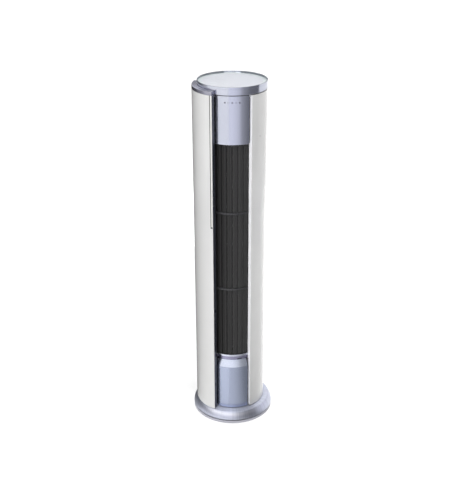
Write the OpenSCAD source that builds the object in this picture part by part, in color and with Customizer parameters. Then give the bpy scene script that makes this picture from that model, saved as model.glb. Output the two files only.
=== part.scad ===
// Floor standing air conditioner: a round column with a door panel that slides round it.
// Millimetres. The origin is the centre of the base on the floor, +Z is up and the front is -Y.
// Angles are measured at the column's axis, from the front (0) round to the right (+90).

/* [Column] */
// Height from the floor to the top of the glass disc
total_h = 1800; // [1700:10:1900]
// Outer diameter of the fixed side panels
body_d = 332; // [328:1:336]
// Wall of the side panels
panel_t = 3; // [2:0.5:4]
// Radial depth of the folded front edges of the side panels
edge_depth = 23; // [21:0.5:24]
// Angle from the front to the front edge of the right panel
right_edge_a = 33.5; // [33:0.5:34.5]
// Angle from the front to the front edge of the left panel
left_edge_a = 36.5; // [36.5:0.5:38]
// Angle from the front to the rear edge of each side panel
rear_edge_a = 110; // [108:1:112]
// How far the front panels lie behind the side panels
face_step = 8; // [7:0.5:9]
// Wall of the front panels
face_t = 2.5; // [1.5:0.5:3]
// Half of the angle that the front panels span
face_a = 30; // [28:0.5:31]
// Sheet of the decks
deck_t = 3; // [2:0.5:4]

/* [Base] */
// Outer diameter of the base cover
base_d = 420; // [400:5:450]
// Height of the base plate's top
foot_h = 14; // [12:1:18]
// Height of the dark plinth between base plate and base cover
plinth_h = 6; // [4:1:8]
// Height of the flat top of the base cover
base_top_h = 62; // [58:1:70]
// Width of the flare outside the flat top
flare_w = 21; // [16:1:26]
// Height of the base cover's rim
rim_h = 5; // [3:1:8]
// Wall of the base cover
base_wall = 3; // [2:0.5:4]
// Diameter of the anchor holes in the base plate
anchor_d = 9; // [7:0.5:11]
// Pitch circle diameter of the anchor holes
anchor_pcd = 350; // [330:5:370]

/* [Cap] */
// Thickness of the glass disc
glass_t = 10; // [8:0.5:14]
// Overhang of the glass disc over the side panels
glass_over = 2; // [1:0.5:2.5]
// Height of the brushed cap band
cap_h = 28; // [22:1:36]
// Wall of the cap band
cap_wall = 3; // [2:0.5:4]

/* [Door] */
// Radial gap between the side panels and the door's folded edges
door_gap = 5; // [4.5:0.5:7]
// Radial depth of the door
door_depth = 22; // [18:1:26]
// Wall of the door shell
door_t = 3; // [2:0.5:4]
// Angle from the front to the door's leading edge when it is open
door_open_a = 29.5; // [28:0.5:31]
// Angle that the door covers
door_span_a = 78; // [76:1:80]
// Height of the slots that the door's carriers run in
slot_h = 5; // [5:0.5:7]
// Thickness of the door carriers
carrier_t = 3; // [2:0.5:3]
// Height of the door's top cap
door_cap_h = 19; // [14:1:24]
// Width of the trim strip on the door's leading edge
trim_w = 12; // [8:1:16]
// Length of the trim strip
trim_l = 650; // [500:10:800]
// Width of the glide tracks
track_w = 7; // [6:0.5:8]
// Depth of the glide tracks
track_deep = 5; // [4:0.5:6]
// Teeth on the door pinion
pinion_teeth = 12; // [12:1:14]
// Teeth that a full circle of the door rack would have
rack_teeth = 100; // [96:1:104]
// Diameter of the pinion shaft
pinion_shaft_d = 6; // [5:0.5:8]

/* [Louvre] */
// Height from the louvre's top to the top of the panels
display_h = 233; // [210:1:260]
// Height of the louvre's lower edge above the floor
louvre_z = 382; // [370:1:400]
// How far the vane pivots lie behind the side panels
vane_step = 26; // [26:0.5:28]
// Angle between neighbouring vanes
vane_pitch_a = 11.5; // [11.3:0.1:11.6]
// Thickness of a vane at its middle
vane_t = 3.2; // [2.4:0.1:3.6]
// Gap between closed vanes
vane_gap = 1; // [0.8:0.1:2]
// Diameter of the vane shafts
vane_shaft_d = 6; // [5:0.5:6.5]
// Height of the cross ribs that hold the vanes
rib_h = 10; // [8:1:14]
// Radius of the vane cranks
crank_r = 7; // [6.8:0.1:7.4]
// Diameter of the crank pins
crank_pin_d = 3; // [2.5:0.1:3.2]
// Opening angle of the vanes
vane_travel_a = 60; // [45:1:60]

/* [Lower front] */
// Height of the shoulder's lower edge
shoulder_z = 307; // [295:1:320]
// Height of the lower panel's top edge
panel_top_z = 351; // [345:1:356]
// How far the shoulder leans in
shoulder_in = 18; // [16:0.5:19]
// Height of the bright lip under the louvre
lip_h = 8; // [6:1:10]

/* [Air path] */
// Diameter of the cross-flow rotor
fan_d = 108; // [96:2:112]
// Radial width of the rotor blades
blade_w = 11; // [9:1:13]
// Number of rotor blades
blade_count = 28; // [20:1:32]
// Number of rotor discs
disc_count = 7; // [4:1:9]
// How far the rotor's axis lies in front of the column's axis
fan_front = 12; // [8:1:16]
// Diameter of the rotor shaft
fan_shaft_d = 8; // [6:0.5:10]
// Gap between the rotor and the rear guide
volute_gap = 8; // [6:1:10]
// Gap between the rotor and the tongue
tongue_gap = 5; // [4:0.5:8]
// How far the heat exchanger's inner face lies behind the side panels
coil_step = 54; // [52:1:58]
// Thickness of a heat exchanger slab
coil_t = 26; // [20:1:28]
// Width of a heat exchanger slab
coil_w = 84; // [76:1:84]
// Angle between the corners of neighbouring heat exchanger slabs
coil_gap_a = 10.9; // [8:0.1:11]
// Pitch of the fin groups
fin_pitch = 14; // [12:1:20]
// Diameter of the copper return bends
bend_d = 8; // [6:0.5:9]
// Outer diameter of the gas pipe
gas_d = 12.7; // [9.5:0.1:14]
// Outer diameter of the liquid pipe
liquid_d = 6.4; // [6:0.1:9.5]

/* [Rear] */
// Columns of slots in the intake grille
slot_columns = 24; // [16:1:28]
// Rows of slots in the intake grille
slot_rows = 6; // [4:1:8]
// Share of a slot column's width that is open
slot_share = 0.58; // [0.4:0.02:0.7]
// Height of the bridges between rows of slots
bridge_h = 12; // [8:1:20]
// Bore of the pipe grommet
pipe_bore_d = 64; // [50:1:70]
// Height of the pipe grommet's axis
pipe_z = 180; // [150:5:210]
// Bore of the cable gland
cable_bore_d = 8; // [6:0.5:10]

/* [Hidden] */
$fn = 96;
half = 0.5;
quarter_turn = 90;
half_turn = 180;
full_turn = 360;

// Clearances
seat_gap = 0.3;
slide_gap = 1;
fit_gap = 0.05;
loose_gap = 0.5;
over = 1;

// Radii of the column
body_r = body_d / 2;
panel_in_r = body_r - panel_t;
face_r = body_r - face_step;
face_in_r = face_r - face_t;
edge_in_r = body_r - edge_depth;
deck_r = panel_in_r - seat_gap;
deck_front_r = face_in_r - seat_gap;
vane_r = body_r - vane_step;
base_r = base_d / 2;
flat_r = base_r - flare_w;
glass_r = body_r + glass_over;
cap_r = body_r + glass_over / 2;
fold_a = panel_t / edge_in_r * full_turn / (2 * PI);
trim_gap_a = 0.3;

// Heights of the column
low_z = base_top_h + slot_h;
deck_top_z = low_z + deck_t;
glass_z = total_h - glass_t;
cap_z = glass_z - cap_h;
high_z = cap_z - slot_h;
trough_z = high_z - track_deep - deck_t;
louvre_top_z = high_z - display_h;
inner_top_z = trough_z - seat_gap;
inner_low_z = deck_top_z + seat_gap;

// Base
plate_in = 1.5;
plate_r = base_r - plate_in;
plate_web = 4;
plate_rib_w = 8;
plate_ribs = 8;
pad_d = 36;
pad_h = 4;
pad_pocket = 2.5;
pad_count = 4;
pad_stand = 1.5;
flare_steps = 6;
flare_share = 0.35;
plinth_in = 9;
plinth_w = 16;
pedestal_step = 48;
pedestal_r = body_r - pedestal_step;
pedestal_t = 8;
cable_hole_d = 90;
pedestal_windows = 6;
pedestal_window_a = 34;
pedestal_window_edge = 10;
anchor_count = 4;
anchor_a = 45;

// Door and its tracks
door_in_r = body_r + door_gap;
door_r = door_in_r + door_depth;
door_wall_r = door_r - door_t;
door_a0 = -(door_open_a + door_span_a);
door_a1 = -door_open_a;
door_travel_a = door_open_a + door_span_a / 2;
door_edge_a = 0.8;
door_rebate = 0.4;
door_low_z = base_top_h + slide_gap;
carrier_low_top = door_low_z + carrier_t;
carrier_high_z = high_z + slide_gap;
door_top_z = carrier_high_z + carrier_t;
carrier_out_r = door_wall_r - seat_gap;
carrier_a0 = door_a0 + door_edge_a;
carrier_a1 = door_a1 - door_edge_a;
track_step = 18;
track_r = body_r - track_step;
track_in_r = track_r - track_w / 2;
track_out_r = track_r + track_w / 2;
track_wall = 3;
glide_count = 4;
glide_a = 5;
cap_edge_drop = 3;
cap_lip_gap = 1.5;
trim_t = 1;
trim_proud = 0.3;
trim_edge_a = 0.35;

// Rack and pinion, with the teeth cut short and thin enough to run freely
rack_step = 15;
rack_pitch_r = track_r - rack_step;
rack_module = 2 * rack_pitch_r / rack_teeth;
pinion_pitch_r = rack_module * pinion_teeth / 2;
pinion_at_r = rack_pitch_r - pinion_pitch_r;
pinion_a = (carrier_a1 + carrier_a0 + door_travel_a) / 2;
tooth_a = full_turn / rack_teeth;
tooth_tip_share = 0.75;
tooth_root_share = 1.15;
tooth_pitch_share = 0.215;
tooth_top_share = 0.12;
tooth_foot_share = 0.30;
rack_body_r = rack_pitch_r + tooth_root_share * rack_module;
rack_spare_a = 1.5;
pinion_lift = 0.5;
door_motor_d = 42;
door_motor_h = 24;
door_motor_ear = 12;
shaft_end = 2;

// Louvre
vane_count = 6;
function vane_a(i) = (i - (vane_count - 1) / 2) * vane_pitch_a;
vane_half_a = vane_pitch_a / 2 - vane_gap / vane_r * full_turn / (4 * PI);
vane_shaft_r = vane_shaft_d / 2;
vane_edge_share = 0.35;
vane_points = 6;
rib_shares = [0.332, 0.691];
rib_count = len(rib_shares);
rib_in = 6;
rib_out = 5.5;
blade_clear = 2;
frame_deep = 14;
frame_in_r = vane_r - frame_deep;
frame_out_r = edge_in_r - seat_gap;
jamb_gap_a = 0.7;
jamb_w_a = 2.3;
jamb_a0 = vane_count / 2 * vane_pitch_a + jamb_gap_a;
jamb_a1 = jamb_a0 + jamb_w_a;
lip_a = right_edge_a - trim_gap_a;
frame_low_z = louvre_z - lip_h;
frame_plate_h = 6;
frame_top_h = 6;
louvre_h = louvre_top_z - louvre_z;
function rib_z(k) = louvre_z + louvre_h * rib_shares[k] - rib_h / 2;
crank_z = louvre_top_z + frame_top_h + slide_gap;
crank_t = 3;
crank_boss = 1.2;
link_z = crank_z + crank_t + slide_gap;
link_t = 3;
link_w = 5;
link_eye = 2;
crank_rest_a = quarter_turn - vane_travel_a / 2 + vane_a(0);
vane_motor_z = link_z + link_t + 2 * slide_gap;
vane_motor_d = 28;
vane_motor_h = 18;
vane_motor_shaft_d = 4;
vane_motor_in = 9;
motor_arm_w = 12;
motor_arm_t = 3;
motor_leg_in = 35;
motor_leg_r = vane_r - motor_leg_in;
motor_leg_l = 10;

// Lower front
sill_in = 1.5;
sill_wall_r = vane_r - sill_in;
sill_t = 2.5;
lip_out = 3;
lip_out_r = edge_in_r + lip_out;
lip_bevel = 1;
sill_slot_w = 24;
sill_slot_h = 6;
sill_slot_deep = 1.5;
sill_slot_a = 15.5;
sill_slot_z = 354;
fold_deep = 8;
mid_deck_drop = 6;
mid_deck_top = panel_top_z - mid_deck_drop;
mid_deck_z = mid_deck_top - deck_t;
bevel = 6;
trim_in = 9;
trim_r = face_r - trim_in;
side_trim_t = 2.5;

// Display
board_w = 100;
board_h = 160;
board_t = 1.6;
board_back = 22;
board_top_gap = 22;
boss_d = 8;
boss_in = 10;
touch_count = 3;
touch_d = 4;
touch_a = 12.5;
touch_drop = 31;
touch_deep = 0.4;

// Frame behind the skin
column_half_a = 6;
column_a0 = rear_edge_a - column_half_a;
column_a1 = rear_edge_a + column_half_a;
column_in_r = deck_front_r + seat_gap;
column_wall = 2.5;
column_fold_a = 1;
motor_deck_z = louvre_top_z + frame_top_h;
motor_deck_gap = 2;
motor_deck_front_r = frame_in_r - motor_deck_gap;
front_half_a = 38.5;
fan_hole_d = 30;

// Fan
fan_r = fan_d / 2;
fan_shaft_r = fan_shaft_d / 2;
fan_low_gap = 35;
fan_high_gap = 15;
fan_low_z = mid_deck_top + fan_low_gap;
fan_high_z = motor_deck_z - fan_high_gap;
fan_blade_t = 1.2;
fan_blade_bow = 2.5;
fan_lean_a = 26;
blade_steps = 4;
disc_t = 3;
disc_rim_w = 2;
hub_d = 26;
hub_h = 12;
bearing_d = 40;
bearing_h = 15;
bearing_neck_d = 22;
bearing_neck_h = 6;
fan_motor_d = 92;
fan_motor_h = 62;
fan_motor_rib = 3;
fan_motor_ribs = 16;
motor_ear_w = 16;
motor_ear_l = 12;
motor_ear_t = 3;
motor_ears = 4;
fan_motor_bore = 34;
volute_r = fan_r + volute_gap;
volute_t = 3;
volute_bead_d = 8;
volute_a0 = -140;
volute_a1 = -48;
tongue_a = 70;
tongue_r = fan_r + tongue_gap;
tongue_t = 3;
tongue_nose_d = 8;

// Heat exchanger and water
coil_in_r = body_r - coil_step;
coil_end_a = atan(coil_w / 2 / coil_in_r);
coil_pitch_a = 2 * coil_end_a + coil_gap_a;
coil_count = 3;
coil_lift = 2.5;
coil_low_z = mid_deck_top + coil_lift;
coil_top_drop = 28;
coil_plate_t = 1.5;
coil_plate_over = 1;
fin_spine = 2;
fin_gap_share = 0.5;
bend_r = 9.5;
bends_per_slab = 3;
pan_in = 8;
pan_out = 12;
pan_in_r = coil_in_r - pan_in;
pan_out_r = coil_in_r + coil_t + pan_out;
pan_wall = 2.5;
pan_h = 22;
pan_spare_a = 1.2;
pan_a0 = half_turn - coil_pitch_a - coil_end_a - pan_spare_a;
spigot_d = 18;
spigot_bore_d = 14;
spigot_l = 42;
spigot_a = 205;
gas_low_z = 150;
liquid_low_z = 190;
gas_top_z = 700;
liquid_top_z = 760;
stub_low_z = 420;
gas_off = 60;
liquid_off = 80;
pipe_in = 7;
pipe_gap = 0.4;
flare_h = 20;
gas_flats = 24;
liquid_flats = 17;
nut_corner_share = 1.1547;
nut_neck_share = 0.9;

// Rear skin
seam_a = 0.2;
seam_h = 1;
skin_a0 = rear_edge_a + seam_a;
skin_a1 = full_turn - skin_a0;
grille_z0 = mid_deck_z + seam_h;
grille_z1 = motor_deck_z;
grille_edge_a = 4.8;
grille_edge_h = 22;
filter_gap = 2;
filter_out_r = panel_in_r - filter_gap;
filter_t = 3;
filter_gap_a = 2;
filter_a0 = column_a1 + filter_gap_a;
filter_bar_a = 1.6;
filter_bar_h = 6;
filter_columns = 5;
filter_rows = 6;
filter_edge = 14;
filter_mesh_t = 0.6;
grommet_wall = 5.5;
grommet_deep = 10;
grommet_flange = 6;
grommet_flange_t = 3;
cable_a = 152;
cable_z = 130;
gland_wall = 4;
gland_nut_h = 8;
gland_deep = 10;
screw_d = 4;
screw_head_d = 9;
screw_head_h = 2;
screw_l = 8;
screw_a = (skin_a0 + column_a1) / 2;
screw_edge = 30;

// Electrical
box_w = 150;
box_d = 78;
box_h = 110;
box_wall = 1.5;
box_back = 18;
box_vents = 8;
box_vent_w = 4;
box_vent_h = 60;
terminal_w = 60;
terminal_d = 22;
terminal_h = 16;
terminal_posts = 5;
terminal_post_d = 5;
terminal_post_h = 3;

// Cap
cap_post_step = 78;
cap_post_r = body_r - cap_post_step;
cap_post_t = 8;
cap_floor_gap = 1;
cap_floor_t = 3;
glass_bevel = 1;
spot_d = 7;
spot_a = 52;
spot_z = 1552;
spot_deep = 0.5;

// Colours as photographed
white_gloss = "#E4E4E2";
lavender = "#C9CCDD";
lavender_dark = "#8E90A8";
vane_black = "#3A3A3C";
navy = "#2C2F3E";
steel = "#9AA0A6";
dark_plastic = "#2A2A2C";
copper = "#B87333";
aluminium = "#B9BEC4";
cream = "#E6E4DA";
grey_plastic = "#C9CACC";
brass = "#C8A24A";
board_green = "#1F5A3A";
glass_tint = [0.78, 0.90, 0.92, 0.45];

// Shared shapes

// A point at radius r and angle a
function polar(r, a) = [r * sin(a), -r * cos(a)];

// A curved wall between two radii, heights and angles
module sector(r0, r1, z0, z1, a0, a1)
    rotate([0, 0, a0 - quarter_turn])
        rotate_extrude(angle = a1 - a0)
            translate([r0, z0]) square([r1 - r0, z1 - z0]);

// The same with any outline, whose x is the radius and y the height
module swept(points, a0, a1)
    rotate([0, 0, a0 - quarter_turn])
        rotate_extrude(angle = a1 - a0)
            polygon(points);

module ring(r0, r1, z0, z1)
    rotate_extrude() translate([r0, z0]) square([r1 - r0, z1 - z0]);

module disc(r, z0, z1)
    translate([0, 0, z0]) cylinder(r = r, h = z1 - z0);

// Turns its children so that their front (-Y) faces angle a
module facing(a) rotate([0, 0, a]) children();

// A round bar from the column outwards at angle a and height z
module radial_bar(d, r0, r1, a, z)
    facing(a) translate([0, -r0, z]) rotate([quarter_turn, 0, 0]) cylinder(d = d, h = r1 - r0);

// A wall with straight sides between two points in plan
module plan_wall(p, q, t, z0, z1) {
    run = q - p;
    long = norm(run);
    translate([p[0], p[1], z0])
        rotate([0, 0, atan2(run[1], run[0])])
            translate([0, -t / 2, 0]) cube([long, t, z1 - z0]);
}

// Base

module base_plate() color(grey_plastic) {
    web_z = pad_stand + plate_web;
    difference() {
        union() {
            ring(plate_r - base_wall, plate_r, pad_stand, foot_h);
            disc(plate_r - base_wall / 2, pad_stand, web_z);
            ring(pedestal_r - pedestal_t, pedestal_r, web_z - over, foot_h);
            for (i = [0 : plate_ribs - 1])
                facing((i + half) * full_turn / plate_ribs)
                    translate([-plate_rib_w / 2, -plate_r + base_wall / 2, web_z - over])
                        cube([plate_rib_w, plate_r - pedestal_r, foot_h - web_z + over]);
            for (i = [0 : anchor_count - 1])
                facing(anchor_a + i * full_turn / anchor_count)
                    translate([0, -anchor_pcd / 2, web_z - over])
                        cylinder(d = 2 * anchor_d, h = foot_h - web_z + over);
        }
        disc(cable_hole_d / 2, 0, foot_h + over);
        for (i = [0 : anchor_count - 1])
            facing(anchor_a + i * full_turn / anchor_count)
                translate([0, -anchor_pcd / 2, 0]) cylinder(d = anchor_d, h = foot_h + over);
        for (i = [0 : pad_count - 1])
            facing(i * full_turn / pad_count)
                translate([0, -anchor_pcd / 2, 0])
                    cylinder(d = pad_d + 2 * seat_gap, h = pad_stand + pad_pocket);
    }
}

module foot_pads() color(dark_plastic)
    for (i = [0 : pad_count - 1])
        facing(i * full_turn / pad_count)
            translate([0, -anchor_pcd / 2, 0]) cylinder(d = pad_d, h = pad_h);

module base_plinth() color(dark_plastic)
    ring(plate_r - plinth_in - plinth_w, plate_r - plinth_in, foot_h, foot_h + plinth_h);

module base_cover() color(lavender) {
    rim_z = foot_h + plinth_h;
    in_r = pedestal_r + seat_gap;
    trough = base_top_h - track_deep;
    rotate_extrude() difference() {
        union() {
            polygon(concat(
                [
                    [plate_r - plinth_in - plinth_w, rim_z],
                    [base_r, rim_z],
                    [base_r, rim_z + rim_h]
                ],
                [for (t = [0 : quarter_turn / flare_steps : quarter_turn])
                    [flat_r + flare_w * cos(t) * (1 - flare_share * sin(t)),
                     rim_z + rim_h + (base_top_h - rim_z - rim_h) * sin(t)]],
                [
                    [in_r, base_top_h],
                    [in_r, base_top_h - base_wall],
                    [flat_r - base_wall, base_top_h - base_wall],
                    [base_r - flare_w * half, rim_z + base_wall],
                    [plate_r - plinth_in - plinth_w, rim_z + base_wall]
                ]
            ));
            translate([track_in_r - track_wall, trough - track_wall])
                square([track_w + 2 * track_wall, track_deep + track_wall]);
        }
        translate([track_in_r, trough]) square([track_w, track_deep + over]);
    }
}

module pedestal() color(steel) difference() {
    ring(pedestal_r - pedestal_t, pedestal_r, foot_h, low_z);
    for (i = [0 : pedestal_windows - 1])
        sector(pedestal_r - pedestal_t - over, pedestal_r + over,
            foot_h + pedestal_window_edge, base_top_h - base_wall - pedestal_window_edge,
            i * full_turn / pedestal_windows - pedestal_window_a / 2,
            i * full_turn / pedestal_windows + pedestal_window_a / 2);
}

// Decks and columns

// A plate that is narrower at the front, behind the front panels
module deck(front_r, z0, z1) {
    disc(front_r, z0, z1);
    sector(front_r - over, deck_r, z0, z1, front_half_a, full_turn - front_half_a);
}

module lower_deck() color(steel) difference() {
    deck(deck_front_r, low_z, deck_top_z);
    disc(cable_hole_d / 2, low_z - over, deck_top_z + over);
}

module rear_columns() color(steel)
    for (a = [column_a0, -column_a1])
        difference() {
            sector(column_in_r, deck_r, deck_top_z, high_z - deck_t, a, a + column_a1 - column_a0);
            sector(column_in_r - over, deck_r - column_wall, deck_top_z + column_wall,
                high_z - deck_t - column_wall,
                a + column_fold_a, a + column_a1 - column_a0 - column_fold_a);
            for (z = screw_heights())
                radial_bar(screw_d + 2 * seat_gap, column_in_r - over, deck_r + over,
                    a < 0 ? -screw_a : screw_a, z);
        }

module mid_deck() color(steel) difference() {
    union() {
        disc(sill_wall_r, mid_deck_z, mid_deck_top);
        sector(sill_wall_r - over, deck_front_r, mid_deck_z, mid_deck_top,
            front_half_a, full_turn - front_half_a);
    }
    at_pipe(gas_off) translate([0, 0, mid_deck_z - over])
        cylinder(d = gas_d + 2 * pipe_gap, h = deck_t + 2 * over);
    at_pipe(liquid_off) translate([0, 0, mid_deck_z - over])
        cylinder(d = liquid_d + 2 * pipe_gap, h = deck_t + 2 * over);
    at_spigot() translate([0, 0, mid_deck_z - over])
        cylinder(d = spigot_d + 2 * seat_gap, h = deck_t + 2 * over);
}

module motor_deck() color(steel) difference() {
    union() {
        disc(motor_deck_front_r, motor_deck_z, motor_deck_z + deck_t);
        sector(motor_deck_front_r - over, deck_front_r, motor_deck_z, motor_deck_z + deck_t,
            front_half_a, full_turn - front_half_a);
    }
    translate([0, -fan_front, motor_deck_z - over])
        cylinder(d = fan_hole_d, h = deck_t + 2 * over);
}

module upper_deck() color(steel) {
    under_z = high_z - deck_t;
    difference() {
        union() {
            rotate_extrude() polygon([
                [0, under_z],
                [track_in_r - track_wall, under_z],
                [track_in_r - track_wall, trough_z],
                [track_out_r + track_wall, trough_z],
                [track_out_r + track_wall, under_z],
                [deck_front_r, under_z],
                [deck_front_r, high_z],
                [track_out_r, high_z],
                [track_out_r, high_z - track_deep],
                [track_in_r, high_z - track_deep],
                [track_in_r, high_z],
                [0, high_z]
            ]);
            sector(deck_front_r - over / 2, deck_r, under_z, high_z,
                front_half_a, full_turn - front_half_a);
        }
        facing(pinion_a) translate([0, -pinion_at_r, under_z - over])
            cylinder(d = pinion_shaft_d + 2 * loose_gap, h = deck_t + 2 * over);
    }
}

// Cap

module cap_post() color(dark_plastic)
    ring(cap_post_r - cap_post_t, cap_post_r, high_z, cap_z + cap_floor_gap);

module cap_floor() color(dark_plastic)
    disc(cap_r - cap_wall - seat_gap, cap_z + cap_floor_gap, cap_z + cap_floor_gap + cap_floor_t);

module cap_cover() color(lavender)
    rotate_extrude() polygon([
        [cap_post_r - cap_post_t, cap_z + cap_floor_gap + cap_floor_t],
        [cap_post_r, cap_z + cap_floor_gap + cap_floor_t],
        [cap_post_r, glass_z - cap_wall],
        [cap_r - cap_wall, glass_z - cap_wall],
        [cap_r - cap_wall, cap_z],
        [cap_r, cap_z],
        [cap_r, glass_z],
        [0, glass_z],
        [0, glass_z - cap_wall],
        [cap_post_r - cap_post_t, glass_z - cap_wall]
    ]);

module glass_disc() color(glass_tint)
    rotate_extrude() polygon([
        [0, glass_z],
        [glass_r - glass_bevel, glass_z],
        [glass_r, glass_z + glass_bevel],
        [glass_r, total_h - glass_bevel],
        [glass_r - glass_bevel, total_h],
        [0, total_h]
    ]);

// Side panels

// A side panel from its folded front edge at a_front to its rear edge at a_rear
module side_panel(a_front, a_rear) {
    turn = a_front < a_rear ? 1 : -1;
    a_fold = a_front + turn * fold_a;
    sector(panel_in_r, body_r, low_z, high_z, min(a_front, a_rear), max(a_front, a_rear));
    sector(face_in_r, body_r - panel_t / 2, low_z, high_z, min(a_front, a_fold), max(a_front, a_fold));
    sector(edge_in_r, face_in_r + over, inner_low_z, inner_top_z,
        min(a_front, a_fold), max(a_front, a_fold));
}

module right_panel() color(white_gloss) difference() {
    side_panel(right_edge_a, rear_edge_a);
    radial_bar(spot_d, body_r - spot_deep, body_r + over, spot_a, spot_z);
}

module left_panel() color(white_gloss)
    side_panel(-left_edge_a, -rear_edge_a);

// Front panels

module display_panel() color(lavender) {
    fold = face_t / trim_r * full_turn / (2 * PI);
    board_y = face_r - board_back;
    difference() {
        union() {
            sector(face_in_r, face_r, louvre_top_z, high_z, -face_a, face_a);
            for (a = [-face_a, face_a - fold])
                sector(face_in_r - fold_deep, face_in_r + face_t / 2, louvre_top_z, inner_top_z, a, a + fold);
            sector(face_in_r - fold_deep, face_in_r + face_t / 2, louvre_top_z, louvre_top_z + face_t,
                -face_a, face_a);
            for (x = [-1, 1], z = board_boss_heights())
                translate([x * (board_w / 2 - boss_in), -board_y, z])
                    rotate([quarter_turn, 0, 0])
                        cylinder(d = boss_d, h = sqrt(pow(face_in_r + face_t / 2, 2)
                            - pow(board_w / 2 - boss_in, 2)) - board_y);
        }
        for (i = [0 : touch_count - 1])
            radial_bar(touch_d, face_r - touch_deep, face_r + over,
                (i - (touch_count - 1) / 2) * touch_a, high_z - touch_drop);
    }
}

board_z1 = inner_top_z - board_top_gap;
function board_boss_heights() = [board_z1 - board_h + boss_in, board_z1 - boss_in];

module display_board() color(board_green)
    translate([-board_w / 2, -(face_r - board_back), board_z1 - board_h])
        cube([board_w, board_t, board_h]);

module side_trims() color(navy) {
    spans = [
        [-(left_edge_a - trim_gap_a), -(face_a + trim_gap_a)],
        [face_a + trim_gap_a, right_edge_a - trim_gap_a]
    ];
    for (s = spans) {
        sector(trim_r - side_trim_t, trim_r, louvre_top_z, inner_top_z, s[0], s[1]);
        sector(trim_r - side_trim_t, trim_r, inner_low_z, panel_top_z, s[0], s[1]);
    }
}

module lower_panel() color(lavender) {
    fold = face_t / trim_r * full_turn / (2 * PI);
    top_r = face_r - shoulder_in;
    lean = face_t * sqrt(1 + pow(shoulder_in / (panel_top_z - shoulder_z), 2));
    swept([
        [face_in_r, low_z],
        [face_r, low_z],
        [face_r, shoulder_z],
        [top_r, panel_top_z],
        [sill_wall_r + seat_gap, panel_top_z],
        [sill_wall_r + seat_gap, panel_top_z - face_t],
        [top_r - lean + shoulder_in * face_t / (panel_top_z - shoulder_z), panel_top_z - face_t],
        [face_in_r, shoulder_z - face_t / 4]
    ], -face_a, face_a);
    for (a = [-face_a, face_a - fold])
        sector(face_in_r - fold_deep, face_in_r + face_t / 2, inner_low_z, shoulder_z - bevel, a, a + fold);
}

module sill() color(lavender) difference() {
    union() {
        swept([
            [sill_wall_r - sill_t, mid_deck_top],
            [sill_wall_r, mid_deck_top],
            [sill_wall_r, frame_low_z],
            [sill_wall_r - sill_t, frame_low_z]
        ], -jamb_a0, jamb_a0);
        swept([
            [sill_wall_r - sill_t / 2, frame_low_z - sill_t],
            [lip_out_r - lip_bevel, frame_low_z - sill_t],
            [lip_out_r, frame_low_z - sill_t / 2],
            [lip_out_r, louvre_z - lip_bevel],
            [lip_out_r - lip_bevel, louvre_z],
            [edge_in_r, louvre_z],
            [edge_in_r, frame_low_z],
            [sill_wall_r - sill_t / 2, frame_low_z]
        ], -lip_a, lip_a);
    }
    facing(sill_slot_a) translate([-sill_slot_w / 2, -sill_wall_r - over, sill_slot_z - sill_slot_h / 2])
        cube([sill_slot_w, over + sill_slot_deep, sill_slot_h]);
}

// Louvre

module at_vane(i) facing(vane_a(i)) translate([0, -vane_r, 0]) children();

module outlet_frame() color(dark_plastic) difference() {
    union() {
        sector(frame_in_r, frame_out_r, frame_low_z, frame_low_z + frame_plate_h, -jamb_a1, jamb_a1);
        sector(frame_in_r, frame_out_r, louvre_top_z, motor_deck_z, -jamb_a1, jamb_a1);
        for (a = [-jamb_a1, jamb_a0])
            sector(frame_in_r, frame_out_r, frame_low_z + over, motor_deck_z - over,
                a, a + jamb_a1 - jamb_a0);
    }
    for (i = [0 : vane_count - 1])
        at_vane(i) translate([0, 0, frame_low_z - over])
            cylinder(r = vane_shaft_r + fit_gap, h = motor_deck_z - frame_low_z + 2 * over);
}

module vane_ribs() color(dark_plastic)
    for (k = [0 : rib_count - 1])
        difference() {
            union() {
                sector(vane_r - rib_in, frame_out_r, rib_z(k), rib_z(k) + rib_h, -jamb_a0, jamb_a0);
                sector(vane_r, vane_r + rib_out, rib_z(k), rib_z(k) + rib_h, -lip_a, lip_a);
            }
            for (i = [0 : vane_count - 1])
                at_vane(i) translate([0, 0, rib_z(k) - over])
                    cylinder(r = vane_shaft_r + fit_gap, h = rib_h + 2 * over);
        }

// Half of a blade's thickness, from its middle (0) to its edge (1)
function vane_half_t(t) = vane_t / 2 * (1 - (1 - vane_edge_share) * t * t);

module vane_blade(z0, z1) {
    steps = [for (j = [-vane_points : vane_points]) j / vane_points];
    outline = concat(
        [for (t = steps) polar(vane_r + vane_half_t(abs(t)), t * vane_half_a)],
        [for (t = steps) polar(vane_r - vane_half_t(abs(t)), -t * vane_half_a)]
    );
    translate([0, vane_r, z0]) linear_extrude(z1 - z0) polygon(outline);
}

// A vane: three blades on one shaft, with its crank on top
module vane(i) color(vane_black) {
    lows = concat([louvre_z + blade_clear], [for (k = [0 : rib_count - 1]) rib_z(k) + rib_h + slide_gap]);
    highs = concat([for (k = [0 : rib_count - 1]) rib_z(k) - slide_gap], [louvre_top_z - blade_clear]);
    at_vane(i) {
        for (s = [0 : rib_count]) vane_blade(lows[s], highs[s]);
        translate([0, 0, frame_low_z + loose_gap])
            cylinder(r = vane_shaft_r, h = crank_z + crank_t - frame_low_z - loose_gap);
        if (i == 0)
            translate([0, 0, crank_z])
                cylinder(d = vane_motor_shaft_d, h = vane_motor_z + vane_motor_h - crank_z - shaft_end);
        rotate([0, 0, crank_rest_a - vane_a(i)]) {
            translate([0, 0, crank_z]) cylinder(r = vane_shaft_r + crank_boss, h = crank_t);
            translate([0, -crank_pin_d, crank_z]) cube([crank_r, 2 * crank_pin_d, crank_t]);
            translate([crank_r, 0, crank_z]) cylinder(r = crank_pin_d, h = crank_t);
            translate([crank_r, 0, crank_z])
                cylinder(d = crank_pin_d, h = crank_t + slide_gap + link_t);
        }
    }
}

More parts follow.
